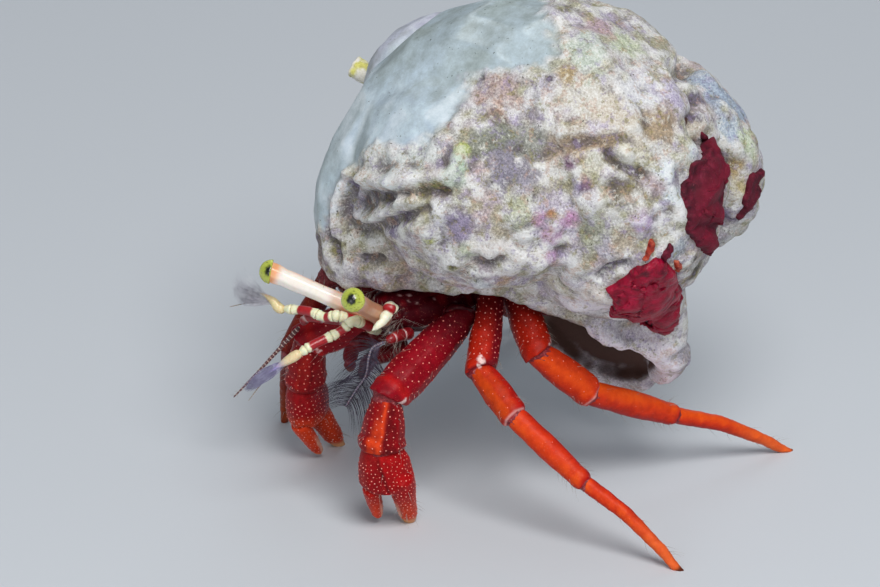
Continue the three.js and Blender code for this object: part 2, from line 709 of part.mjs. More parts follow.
addPiece('shell', COLOUR.shell, () => shellBody().subtract(shellCavity()), [
  'worm_tube',
  'shield',
  'thorax',
  ...bothSides('eyestalk_*', 'leg_2_*_merus', 'leg_2_*_carpus', 'leg_3_*_merus', 'leg_3_*_carpus'),
]);

// ---------------------------------------------------------------------------------------
// The origin: the middle of the bounding box, at floor level
// ---------------------------------------------------------------------------------------

const bounds = new THREE.Box3().setFromObject(crab);
const centre = bounds.getCenter(new THREE.Vector3());
crab.position.set(-centre.x, -centre.y, -bounds.min.z);

export default crab;
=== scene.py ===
# %% [markdown]
# # A red hermit crab in a worn turban shell
#
# The real animal is a reef hermit crab no longer than a finger joint. It stands on its claw
# tips and on four walking legs, and carries a snail shell that is older than it is, overgrown
# and rounded off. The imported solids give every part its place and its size. This lesson gives
# them their skin: armour with pale warts, glassy eyes, banded feelers, fine hairs, and a
# shell whose crust is built up from folds, lumps and grain.

# %% Load the frame
import math
import bpy
import bmesh
import numpy as np
from mathutils import Matrix, Vector
from mathutils.bvhtree import BVHTree


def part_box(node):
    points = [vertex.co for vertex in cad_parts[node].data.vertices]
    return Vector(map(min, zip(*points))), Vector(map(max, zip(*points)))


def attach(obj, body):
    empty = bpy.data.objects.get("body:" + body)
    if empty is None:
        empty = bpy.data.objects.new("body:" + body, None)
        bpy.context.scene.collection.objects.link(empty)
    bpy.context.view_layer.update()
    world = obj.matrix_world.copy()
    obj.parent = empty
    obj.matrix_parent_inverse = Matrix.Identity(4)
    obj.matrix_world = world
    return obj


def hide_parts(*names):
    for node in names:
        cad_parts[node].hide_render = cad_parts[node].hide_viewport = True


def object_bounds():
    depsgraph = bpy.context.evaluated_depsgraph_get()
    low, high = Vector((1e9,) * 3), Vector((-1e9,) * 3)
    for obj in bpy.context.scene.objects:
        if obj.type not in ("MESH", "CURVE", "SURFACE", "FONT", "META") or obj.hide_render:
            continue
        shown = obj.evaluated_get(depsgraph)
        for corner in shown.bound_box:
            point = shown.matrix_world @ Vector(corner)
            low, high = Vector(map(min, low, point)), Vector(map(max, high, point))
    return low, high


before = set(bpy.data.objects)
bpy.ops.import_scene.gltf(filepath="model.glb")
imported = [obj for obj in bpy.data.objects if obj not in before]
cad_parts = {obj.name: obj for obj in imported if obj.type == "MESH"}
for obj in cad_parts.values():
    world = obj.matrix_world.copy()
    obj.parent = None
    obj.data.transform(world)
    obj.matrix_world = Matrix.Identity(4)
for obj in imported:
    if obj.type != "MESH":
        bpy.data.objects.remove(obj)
CAD_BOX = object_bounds()
MM = 0.001
print("solids from", [round(v / MM, 1) for v in CAD_BOX[0]], "to", [round(v / MM, 1) for v in CAD_BOX[1]])

# %% [markdown]
# ## Camera, floor and light
#
# A creature this small is looked at from further off through a long lens, which flattens the
# perspective. The camera here has one. One broad light hangs above and to the right of
# the camera, as soft as an overcast sky, and a weaker one near the lens fills the shadows.

# %% Camera
AZIMUTH, ELEVATION = math.radians(55), math.radians(24)
LENS, SENSOR, VIEW_WIDTH = 400.0, 36.0, 0.044
AIM_FROM_MIDDLE = Vector((-0.73, -3.26, -2.57)) * MM

toward_camera = Vector((
    math.sin(AZIMUTH) * math.cos(ELEVATION),
    -math.cos(AZIMUTH) * math.cos(ELEVATION),
    math.sin(ELEVATION),
))
camera_right = Vector((math.cos(AZIMUTH), math.sin(AZIMUTH), 0))
TOWARD, ACROSS = np.array(toward_camera), np.array(camera_right)  # for sums over many points
aim = (CAD_BOX[0] + CAD_BOX[1]) / 2 + AIM_FROM_MIDDLE


def look_at(thing, place, target):
    """Puts a light or camera at a place, turned to a target."""
    thing.location = place
    thing.rotation_mode = "QUATERNION"
    thing.rotation_quaternion = (Vector(target) - Vector(place)).to_track_quat("-Z", "Y")
    bpy.context.scene.collection.objects.link(thing)


lens = bpy.data.cameras.new("long_lens")
lens.lens, lens.sensor_width = LENS, SENSOR
lens.clip_start, lens.clip_end = 0.01, 10
camera = bpy.data.objects.new("camera", lens)
look_at(camera, aim + toward_camera * VIEW_WIDTH * LENS / SENSOR, aim)
bpy.context.scene.camera = camera

# %% Lights
LIGHTS = {
    "key": ((0.60, -0.22, 0.80), 0.30, 0.16, 0.80, (1.0, 0.99, 0.98)),
    "fill": ((0.60, -0.90, 0.15), 0.45, 0.30, 0.42, (0.94, 0.97, 1.0)),
    "rim": ((-0.6, 0.7, 0.6), 0.40, 0.25, 0.20, (0.85, 0.92, 1.0)),
}
for name, (way, distance, size, power, tone) in LIGHTS.items():
    panel = bpy.data.lights.new(name, "AREA")
    panel.shape, panel.size, panel.energy, panel.color = "DISK", size, power, tone
    look_at(bpy.data.objects.new(name, panel), aim + Vector(way).normalized() * distance, aim)

world = bpy.data.worlds.new("studio")
world.use_nodes = True
world.node_tree.nodes["Background"].inputs["Color"].default_value = (0.62, 0.68, 0.74, 1)
world.node_tree.nodes["Background"].inputs["Strength"].default_value = 0.35
bpy.context.scene.world = world
bpy.context.scene.view_settings.view_transform = "Standard"
print("camera", round((camera.location - aim).length, 3), "m away,", len(LIGHTS), "lights")

# %% [markdown]
# ## Tools for making skins
#
# All shaping is done in millimetres, because a voxel or a noise lump is then a number that can
# be pictured, and each finished mesh is scaled to metres as it is put in place. The tools
# below copy solids, remake them from even squares, and move their points by smooth noise.


# %% Meshes in millimetres
def to_mesh(bm, name="working"):
    """The mesh of a bmesh, which is then freed."""
    mesh = bpy.data.meshes.new(name)
    bm.to_mesh(mesh)
    bm.free()
    return mesh


def solid(*nodes):
    """The solids of these nodes as one merged mesh, in millimetres."""
    bm = bmesh.new()
    for name in nodes:
        bm.from_mesh(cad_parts[name].data)
    bmesh.ops.remove_doubles(bm, verts=bm.verts, dist=1e-6)
    bmesh.ops.scale(bm, vec=Vector((1, 1, 1)) / MM, verts=bm.verts)
    return bm


def numbers(mesh, what="co"):
    """A value of every point as an array: its place, or its normal."""
    flat = np.empty(len(mesh.vertices) * 3, np.float32)
    mesh.vertices.foreach_get(what, flat)
    return flat.reshape(-1, 3).astype(float)


def surface(mesh):
    """The place and the normal of every point."""
    return numbers(mesh), numbers(mesh, "normal")


def move_to(mesh, points):
    """Puts every point of a mesh in its new place."""
    mesh.vertices.foreach_set("co", points.astype(np.float32).ravel())
    mesh.update()


def keep(mesh, name, values):
    """Stores a number or a colour on every point, for a material to read."""
    values = np.asarray(values, np.float32)
    colour = values.ndim == 2
    old = mesh.attributes.get(name)
    if old:
        mesh.attributes.remove(old)
    layer = mesh.attributes.new(name, "FLOAT_COLOR" if colour else "FLOAT", "POINT")
    if colour:
        values = np.concatenate([values, np.ones((len(values), 1), np.float32)], axis=1)
    layer.data.foreach_set("color" if colour else "value", values.ravel())


def evaluated(mesh, modifiers):
    """The mesh with modifiers applied: [(kind, settings), ...]."""
    holder = bpy.data.objects.new("holder", mesh)
    bpy.context.scene.collection.objects.link(holder)
    for kind, settings in modifiers:
        modifier = holder.modifiers.new(kind, kind)
        for key, value in settings.items():
            setattr(modifier, key, value)
    bpy.context.view_layer.update()
    graph = bpy.context.evaluated_depsgraph_get()
    made = bpy.data.meshes.new_from_object(holder.evaluated_get(graph))
    bpy.data.objects.remove(holder)
    return made


def skin(bm, voxel, smoothing, bridge=0.0):
    """A solid remade from even squares with its edges worn round, bridging gaps this wide."""
    steps = [("REMESH", {"mode": "VOXEL", "voxel_size": voxel})]
    if bridge:
        steps.insert(0, ("DISPLACE", {"strength": bridge, "mid_level": 0.0}))
        steps.append(("DISPLACE", {"strength": -bridge, "mid_level": 0.0}))
    steps.append(("SMOOTH", {"factor": 0.5, "iterations": smoothing}))
    return evaluated(to_mesh(bm), steps)


def place(name, mesh, slot, nodes=(), finishes=()):
    """Puts a finished mesh in the model, in metres, in place of the nodes it stands for."""
    mesh.transform(Matrix.Scale(MM, 4))
    mesh.name = name
    mesh.shade_smooth()
    for finish in finishes:
        mesh.materials.append(finish)
    piece = bpy.data.objects.new(name, mesh)
    bpy.context.scene.collection.objects.link(piece)
    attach(piece, "root")
    if nodes:
        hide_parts(*nodes)
    print(f"{name}: {sum(len(p.vertices) - 2 for p in mesh.polygons)} triangles")
    return piece


# %% Smooth noise
def lumps(points, size, seed):
    """Random heights from -1 to 1, in smooth lumps about this many millimetres across."""
    table = np.random.default_rng(seed).uniform(-1, 1, 4096)
    cell = points / size
    corner = np.floor(cell).astype(np.int64)
    t = cell - corner
    t = t * t * (3 - 2 * t)
    total = np.zeros(len(points))
    for offset in np.ndindex(2, 2, 2):
        c = corner + offset
        pick = (c[:, 0] * 73856093 ^ c[:, 1] * 19349663 ^ c[:, 2] * 83492791) & 4095
        total += np.prod(np.where(offset, t, 1 - t), axis=1) * table[pick]
    return total


def ramp(x, low, high):
    """0 below low, 1 above high, and a smooth rise between them."""
    t = np.clip((x - low) / (high - low), 0, 1)
    return t * t * (3 - 2 * t)


def bell(x, width):
    """1 at zero, falling off to both sides over this width."""
    return np.exp(-(x / width) ** 2)


# %% Places and lines
# Small parts are set out from the crab's own middle line: right, back and up, with the
# forehead at a known distance in front.
FOREHEAD_Y = -4.5
shield_low, shield_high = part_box("shield")
OUTSET = np.array(((shield_low.x + shield_high.x) / 2, shield_low.y, 0)) / MM - (0, FOREHEAD_Y, 0)


def set_out(*places):
    """Places measured from the crab's own middle line, in the model's frame."""
    return np.array(places, float) + OUTSET


def along(points, start, end):
    """How far each point is along a line, 0 to 1, and its own vector out from the line."""
    run = end - start
    share = (points - start) @ run / (run @ run)
    return share, points - start - share[:, None] * run


# %% [markdown]
# ## Tools for finishes
#
# Every finish is a small node tree. The colours are written as the hex codes a painter would
# mix to, and a few helpers keep the trees readable: one for noise, one for a colour scale,
# one that mixes, and one that reads the numbers stored on the mesh.


# %% Colours and nodes
def ink(code):
    """A hex colour as the linear values that a shader works in."""
    parts = [int(code[i:i + 2], 16) / 255 for i in (0, 2, 4)]
    return (*[c / 12.92 if c <= 0.04045 else ((c + 0.055) / 1.055) ** 2.4 for c in parts], 1)


class Finish:
    """A material under construction, with one shader and short names for its nodes."""

    def __init__(self, name, **sockets):
        self.material = bpy.data.materials.new(name)
        self.material.use_nodes = True
        self.tree = self.material.node_tree
        self.shader = self.tree.nodes["Principled BSDF"]
        for key, value in sockets.items():
            self.shader.inputs[key.replace("_", " ")].default_value = value
        self.space = self.node("TexCoord").outputs["Object"]

    def node(self, kind, **settings):
        made = self.tree.nodes.new("ShaderNode" + kind)
        for key, value in settings.items():
            setattr(made, key, value)
        return made

    def feed(self, socket, value):
        if isinstance(value, bpy.types.NodeSocket):
            self.tree.links.new(value, socket)
        else:
            socket.default_value = value

    def stored(self, name, colour=False):
        made = self.node("Attribute", attribute_name=name)
        return made.outputs["Color" if colour else "Fac"]

    def noise(self, size, detail=3, rough=0.6, seed=0):
        """Noise with lumps this many millimetres across; another seed gives another pattern."""
        made = self.node("TexNoise", noise_dimensions="4D")
        self.feed(made.inputs["Vector"], self.space)
        made.inputs["W"].default_value = 7.3 * seed
        made.inputs["Scale"].default_value = 1 / (size * MM)
        made.inputs["Detail"].default_value = detail
        made.inputs["Roughness"].default_value = rough
        return made.outputs["Fac"]

    def cells(self, size):
        """Distance from the middle of the nearest of many scattered points."""
        made = self.node("TexVoronoi")
        self.feed(made.inputs["Vector"], self.space)
        made.inputs["Scale"].default_value = 1 / (size * MM)
        return made.outputs["Distance"]

    def scale(self, value, *stops):
        """A colour scale: (place, hex colour), ..."""
        made = self.node("ValToRGB")
        self.feed(made.inputs["Fac"], value)
        points = made.color_ramp.elements
        while len(points) < len(stops):
            points.new(0.5)
        for point, (where, code) in zip(points, stops):
            point.position, point.color = where, ink(code)
        return made.outputs["Color"]

    def mix(self, share, a, b, blend="MIX"):
        made = self.node("Mix", data_type="RGBA", blend_type=blend)
        self.feed(made.inputs[0], share)
        self.feed(made.inputs[6], ink(a) if isinstance(a, str) else a)
        self.feed(made.inputs[7], ink(b) if isinstance(b, str) else b)
        return made.outputs[2]

    def maths(self, kind, a, b, clamp=False):
        made = self.node("Math", operation=kind, use_clamp=clamp)
        self.feed(made.inputs[0], a)
        self.feed(made.inputs[1], b)
        return made.outputs[0]

    def between(self, value, low, high):
        """0 below low, 1 above high."""
        made = self.node("MapRange", interpolation_type="SMOOTHSTEP")
        self.feed(made.inputs["Value"], value)
        made.inputs["From Min"].default_value = low
        made.inputs["From Max"].default_value = high
        return made.outputs["Result"]

    def relief(self, height, depth):
        """Bumps this many millimetres deep, too fine for the mesh."""
        made = self.node("Bump")
        self.feed(made.inputs["Height"], height)
        made.inputs["Distance"].default_value = depth * MM
        self.feed(self.shader.inputs["Normal"], made.outputs["Normal"])

    def colour(self, value):
        self.feed(self.shader.inputs["Base Color"], ink(value) if isinstance(value, str) else value)
        return self.material


# %% [markdown]
# ## The floor
#
# Plain and pale, with no edge in sight.

# %% Floor
bm = bmesh.new()
bmesh.ops.create_grid(bm, x_segments=1, y_segments=1, size=1.5)
floor = bpy.data.objects.new("floor", to_mesh(bm, "floor"))
bpy.context.scene.collection.objects.link(floor)
matt = Finish("pale_floor", Roughness=0.9)
floor.data.materials.append(matt.colour("c9cdd2"))

# %% [markdown]
# ## The shell
#
# The snail that made this turban shell is long dead, and every whorl has since been coated
# by pink and grey stony algae, so that the coils hardly show. It could be sculpted by hand.
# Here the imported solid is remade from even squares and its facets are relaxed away. Then each
# point is pushed in or out by a height that adds up what really built the surface: broad
# swellings, knobs, folds along the lip, pits, and grain.


# %% Relax a mesh without shrinking it
def neighbours(mesh):
    """A function that averages any value over each point's neighbours."""
    ends = np.empty(len(mesh.edges) * 2, np.int32)
    mesh.edges.foreach_get("vertices", ends)
    a, b = ends.reshape(-1, 2).T
    count = np.bincount(ends, minlength=len(mesh.vertices)).astype(float)

    def average(values):
        columns = values.reshape(len(count), -1).T
        summed = [np.bincount(a, c[b], len(count)) + np.bincount(b, c[a], len(count)) for c in columns]
        return (np.array(summed) / count).T.reshape(values.shape)

    return average


def relax(mesh, rounds):
    """Wears away edges finer than about fourteen squares, and keeps the size."""
    average = neighbours(mesh)
    points = numbers(mesh)
    for step in range(2 * rounds):
        points += (0.5, -0.53)[step % 2] * (average(points) - points)
    move_to(mesh, points)


# Crust has thickened the rim of the mouth and the waist above it: balls of it are merged in,
# each row with its radius and its places in millimetres.
BULGE = (4.0, 8.9, 19.2)  # the second whorl, swollen by crust
RIM_ROWS = 5  # the first rows lie along the rim
GROWTHS = (
    (0.62, (5.0, 2.4, 9.3), (5.2, 3.0, 8.9), (5.3, 3.7, 8.5), (5.4, 4.7, 8.1)),
    (0.95, (5.6, 5.6, 7.8), (5.5, 6.3, 7.2), (5.2, 6.8, 6.7)),
    (0.90, (4.6, 7.05, 6.0), (4.2, 7.1, 5.6)),
    (0.68, (2.9, 6.75, 4.55), (2.4, 6.6, 4.35), (1.8, 6.4, 4.25)),
    (0.62, (1.2, 6.15, 4.2), (0.5, 5.9, 4.2), (-0.3, 5.6, 4.3), (-1.0, 5.4, 4.5), (-1.6, 5.2, 4.9)),
    (1.10, (6.9, 4.9, 11.2), (6.4, 5.4, 10.5), (6.0, 5.7, 9.8), (5.8, 5.9, 9.1), (5.7, 6.1, 8.4)),
    (0.60, (-2.1, 5.0, 5.3), (-2.6, 4.9, 5.8)),
    (2.00, BULGE),
)
rough_shell = solid("shell")
for radius, *places in GROWTHS:
    for spot in places:
        bmesh.ops.create_icosphere(rough_shell, subdivisions=2, radius=radius,
                                   matrix=Matrix.Translation(spot))
SQUARE, WEAR = 0.178, 45  # the size of its squares in millimetres, and the rounds of wear
shell = skin(rough_shell, SQUARE, 2)
relax(shell, WEAR)
shell_points, shell_facing = surface(shell)
print("shell:", len(shell.polygons), "squares")

# %% [markdown]
# The inside of the shell is smooth and brown where the crab rubs it, so the script has to know
# which points are inside. A point that sees little sky, because the shell itself stands in
# the way of most rays that leave it, is deep inside. Near the mouth, where rays escape, a point
# is inside if it faces the line that runs down the middle of the opening.


# %% How sheltered each point is
def sheltered(mesh, points, facing, blocker, reach):
    """Share of the rays from each point that hit the blocker within reach."""
    tree = BVHTree.FromBMesh(blocker)
    rays = [(Vector(c) - Vector((1, 1, 1))).normalized() for c in np.ndindex(3, 3, 3) if c != (1, 1, 1)]
    hits, casts = np.zeros(len(points)), np.zeros(len(points))
    starts = points + facing * 0.2
    for ray in rays[::2]:
        open_side = np.nonzero(facing @ np.array(ray) > 0.25)[0]
        casts[open_side] += 1
        for i in open_side:
            if tree.ray_cast(starts[i], ray, reach)[0] is not None:
                hits[i] += 1
    share = hits / np.maximum(casts, 1)
    average = neighbours(mesh)
    for _ in range(6):
        share = average(share)
    return share


def facing_line(points, facing, line, reach, low=0.0, high=0.35):
    """1 where a point within reach of a line is turned towards it."""
    nearest, away = np.zeros(points.shape), np.full(len(points), np.inf)
    for a, b in zip(line, line[1:]):
        share = np.clip((points - a) @ (b - a) / ((b - a) @ (b - a)), 0, 1)
        foot = a + share[:, None] * (b - a)
        distance = np.linalg.norm(points - foot, axis=1)
        nearest = np.where((distance < away)[:, None], foot, nearest)
        away = np.minimum(away, distance)
    turned_in = ((nearest - points) * facing).sum(1) / away
    return ramp(turned_in, low, high) * ramp(away, reach, reach - 1.5)


MOUTH_REACH = 6.5
MOUTH_LINE = set_out((-2.0, -2.5, 10.6), (1.5, 2.5, 9.0), (4.3, 7.0, 6.8))
inside = ramp(sheltered(shell, shell_points, shell_facing, solid("shell"), 14), 0.4, 0.6)
inside = np.maximum(inside, facing_line(shell_points, shell_facing, MOUTH_LINE, MOUTH_REACH))
average = neighbours(shell)
for _ in range(3):
    inside = average(inside)
print("inside:", round(float(inside.mean()), 2), "of the surface")

# %% [markdown]
# Places on the shell are given as shares of its box and moved to the nearest point of its
# surface. A fold or a groove is then a line through such places, and its depth falls off
# with the distance from the line.


# %% Places and lines on the shell
SHELL_LOW, SHELL_HIGH = (np.array(corner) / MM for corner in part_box("shell"))


def on_shell(*shares):
    """Numbers of the shell's outer points nearest to these shares of its box."""
    wanted = SHELL_LOW + np.array(shares) * (SHELL_HIGH - SHELL_LOW)
    outer = np.nonzero(inside < 0.5)[0]
    return np.array([outer[((shell_points[outer] - w) ** 2).sum(1).argmin()] for w in wanted])


def from_line(points, line):
    """Distance of each point from a line through several places."""
    nearest = np.full(len(points), np.inf)
    for a, b in zip(line[:-1], line[1:]):
        run = b - a
        share = np.clip((points - a) @ run / (run @ run + 1e-9), 0, 1)
        nearest = np.minimum(nearest, np.linalg.norm(points - a - share[:, None] * run, axis=1))
    return nearest


def near(centre, radius):
    """1 at a place on the shell, falling off over this many millimetres."""
    return bell(np.linalg.norm(shell_points - shell_points[on_shell(centre)[0]], axis=1), radius)


# %% Folds, grooves, knobs and pits
# Each fold is its height (negative for a groove), its half width and its places.
FOLDS = {
    "left furrow": (-0.45, 0.24, (.297, .012, .462), (.318, .018, .438), (.318, .027, .401)),
    "outer furrow": (-0.35, 0.2, (.229, .023, .427), (.263, .017, .410)),
    "deep furrow": (-0.75, 0.27, (.362, .026, .592), (.352, .018, .552), (.348, .019, .516),
        (.370, .027, .499), (.385, .037, .489), (.415, .052, .495), (.524, .017, .555),
        (.577, .016, .579), (.626, .022, .606), (.668, .037, .631)),
    "white fold": (0.55, 0.27, (.367, .026, .631), (.343, .022, .592), (.329, .014, .562),
        (.317, .011, .525), (.320, .014, .496), (.324, .017, .474)),
    "hollow": (-0.6, 0.42, (.421, .019, .579), (.487, .004, .617), (.538, .005, .626),
        (.569, .011, .629)),
    "lower ridge": (0.5, 0.27, (.382, .030, .527), (.452, .021, .547), (.510, .012, .576),
        (.557, .010, .604), (.596, .016, .632), (.635, .024, .658)),
    "upper ridge": (0.6, 0.4, (.450, .012, .647), (.534, .011, .665), (.579, .018, .678),
        (.621, .031, .695), (.649, .049, .705), (.684, .069, .712), (.712, .087, .721),
        (.713, .103, .744)),
    "crevice": (-0.5, 0.24, (.618, .021, .655), (.656, .036, .666), (.687, .055, .674),
        (.708, .070, .683)),
    "ledge": (-0.3, 0.45, (.814, .244, .748), (.824, .283, .763), (.860, .307, .781),
        (.895, .355, .793), (.926, .420, .792)),
    "ledge rim": (0.3, 0.35, (.844, .303, .809), (.871, .337, .814), (.897, .368, .811),
        (.913, .405, .806), (.928, .447, .808)),
    "lilac hollow": (-0.4, 0.6, (.684, .063, .549), (.727, .077, .584), (.760, .090, .621),
        (.775, .111, .648)),
    "chin crevice": (-0.4, 0.26, (.381, .051, .419), (.400, .061, .420), (.419, .074, .425)),
    "right crevice": (-0.5, 0.32, (.926, .372, .762), (.937, .390, .747), (.956, .414, .728),
        (.973, .446, .718)),
    "crust crevice": (-0.4, 0.26, (.897, .374, .466), (.924, .390, .485), (.950, .416, .500)),
    "lip hollow": (-0.45, 0.33, (.740, .142, .496), (.753, .162, .491), (.787, .171, .514)),
    "right band": (0.35, 0.45, (.955, .587, .736), (.972, .514, .728), (.983, .496, .704),
        (.990, .511, .661), (.997, .532, .616)),
}
# A knob or pit is its height, its radius and its place.
KNOBS = (
    (0.45, 0.5, (.939, .411, .765)), (0.45, 0.4, (.701, .114, .765)), (0.2, 0.3, (.493, .015, .565)),
    (0.25, 0.32, (.580, .017, .673)), (0.4, 0.6, (.343, .039, .385)), (0.4, 0.6, (.411, .080, .379)),
    (0.35, 0.5, (.691, .095, .492)), (-0.4, 0.24, (.688, .100, .485)), (0.4, 0.5, (.680, .179, .426)),
    (0.35, 0.4, (.596, .199, .384)), (0.3, 0.8, (.857, .273, .595)), (0.4, 0.7, (.978, .434, .608)),
    (0.3, 1.2, (.903, .412, .831)), (0.3, 1, (.887, .573, .845)), (0.25, 0.8, (.683, .239, .860)),
    (-0.5, 0.2, (.617, .224, .888)), (-0.45, 0.16, (.760, .319, .910)),
    (-0.35, 0.35, (.976, .444, .710)), (0.4, 0.7, (.661, .052, .549)), (0.35, 0.6, (.553, .075, .462)),
    (0.3, 0.6, (.832, .198, .674)), (0.35, 0.7, (.922, .338, .669)), (-0.3, 0.5, (.947, .372, .689)),
    (0.35, 0.9, (.878, .338, .503)), (0.3, 0.6, (.819, .263, .502)), (-0.3, 0.4, (.843, .304, .529)),
    (0.3, 0.7, (.873, .681, .789)), (0.4, 0.9, (.756, .813, .718)), (-0.3, 0.5, (.784, .235, .772)),
    (0.3, 0.8, (.790, .452, .941)),
)
SUTURE = (-0.9, 0.6, (.611, .801, .781), (.82, .652, .853), (.845, .687, .804), (.892, .661, .785),
          (.917, .631, .772), (.93, .64, .75), (.828, .789, .615), (.835, .773, .534), (.799, .788, .432))


def folded(tall, wide, line):
    """The height of one fold at every point of the shell."""
    wander = wide * (1 + 0.35 * lumps(shell_points, 0.9, 5))
    return tall * bell(from_line(shell_points, shell_points[on_shell(*line)]), wander)


# %% [markdown]
# A smooth grey film covers the front and the top. It has a ragged outline, which is given by
# places on the shell and closed by places beyond it, and seen from where the camera stands.


# %% Outline of the film
def depth_inside(spots, outline):
    """Signed distance of flat points from an outline: positive inside."""
    nearest = np.full(len(spots), np.inf)
    within = np.zeros(len(spots), bool)
    for a, b in zip(outline, np.roll(outline, -1, axis=0)):
        run = b - a
        share = np.clip((spots - a) @ run / (run @ run), 0, 1)
        nearest = np.minimum(nearest, np.linalg.norm(spots - a - share[:, None] * run, axis=1))
        rising = (a[1] <= spots[:, 1]) != (b[1] <= spots[:, 1])
        crossing = a[0] + (spots[:, 1] - a[1]) / (b[1] - a[1] + 1e-12) * (b[0] - a[0])
        within ^= rising & (spots[:, 0] < crossing)
    return np.where(within, nearest, -nearest)


FILM_OUTLINE = (
    (.587, .428, .998), (.734, .361, .945), (.723, .297, .913), (.678, .27, .912), (.627, .233, .892),
    (.594, .206, .869), (.618, .174, .843), (.628, .133, .814), (.633, .09, .783), (.602, .065, .759),
    (.538, .036, .741), (.484, .029, .732), (.434, .022, .698), (.401, .021, .663), (.339, .024, .61),
    (.324, .014, .566), (.284, .007, .505), (.262, .004, .467),
    (.15, -.02, .43), (.01, .07, .78), (.07, .35, 1.02), (.27, .62, 1.02),
)
view = np.stack([camera_right, toward_camera.cross(camera_right)], axis=1)
outline = (SHELL_LOW + np.array(FILM_OUTLINE) * (SHELL_HIGH - SHELL_LOW)) @ view
toward = (shell_points - (SHELL_LOW + SHELL_HIGH) / 2) @ TOWARD
film = depth_inside(shell_points @ view, outline) + 0.35 * lumps(shell_points, 0.7, 11)
film = ramp(film + 0.22 * lumps(shell_points, 0.3, 12), -0.25, 0.45)
frayed = 1.6 * lumps(shell_points, 2.2, 45) + 0.6 * lumps(shell_points, 0.7, 46)
film *= ramp(toward + frayed, -3.0, -2.2)  # it ends before the far side
film *= 1 - inside
print("film:", round(float(film.mean()), 2), "of the surface")

# %% Push the surface in and out
knobbly = np.abs(lumps(shell_points, 1.3, 3)) + 0.6 * np.abs(lumps(shell_points, 0.65, 4)) - 0.5
height = (1 - 0.8 * film) * (0.25 * lumps(shell_points, 3.1, 1) + 0.15 * lumps(shell_points, 1.5, 2))
height += (1 - film) * (0.20 * knobbly + 0.06 * lumps(shell_points, 0.4, 6))
for tall, wide, *line in FOLDS.values():
    height += folded(tall, wide, line)
for tall, radius, centre in KNOBS:
    height += tall * near(centre, radius)
height -= film * 0.10
THINNEST = -0.42  # a groove may not eat through the wall
height = np.where(height < THINNEST, THINNEST + 0.10 * (height - THINNEST), height)
height += folded(SUTURE[0], SUTURE[1], SUTURE[2:])
height *= 1 - 0.95 * inside
move_to(shell, shell_points + shell_facing * height[:, None])
print(len(FOLDS), "folds and", len(KNOBS), "knobs and pits; relief from",
      round(float(height.min()), 2), "to", round(float(height.max()), 2), "mm")

# %% [markdown]
# The colours of stony algae run into each other in patches a few millimetres wide: chalk, lilac, pink, ochre
# and olive. Patches that big are stored on the mesh as a tint, mixed by noise and by a few places where one
# colour clearly rules. The darkest of these places, in the hollow, along the suture and in the crevice
# between the red crusts, are painted shade. The speckle that is finer than the mesh comes later, from the
# material.


# %% Tint the shell
def plain(code, points):
    """One colour at each point, to paint on."""
    return np.tile(ink(code)[:3], (len(points), 1))


def paint(base, share, code):
    """The base colour with this share of another, at each point."""
    return base + np.reshape(share, (-1, 1)) * (np.array(ink(code)[:3]) - base)


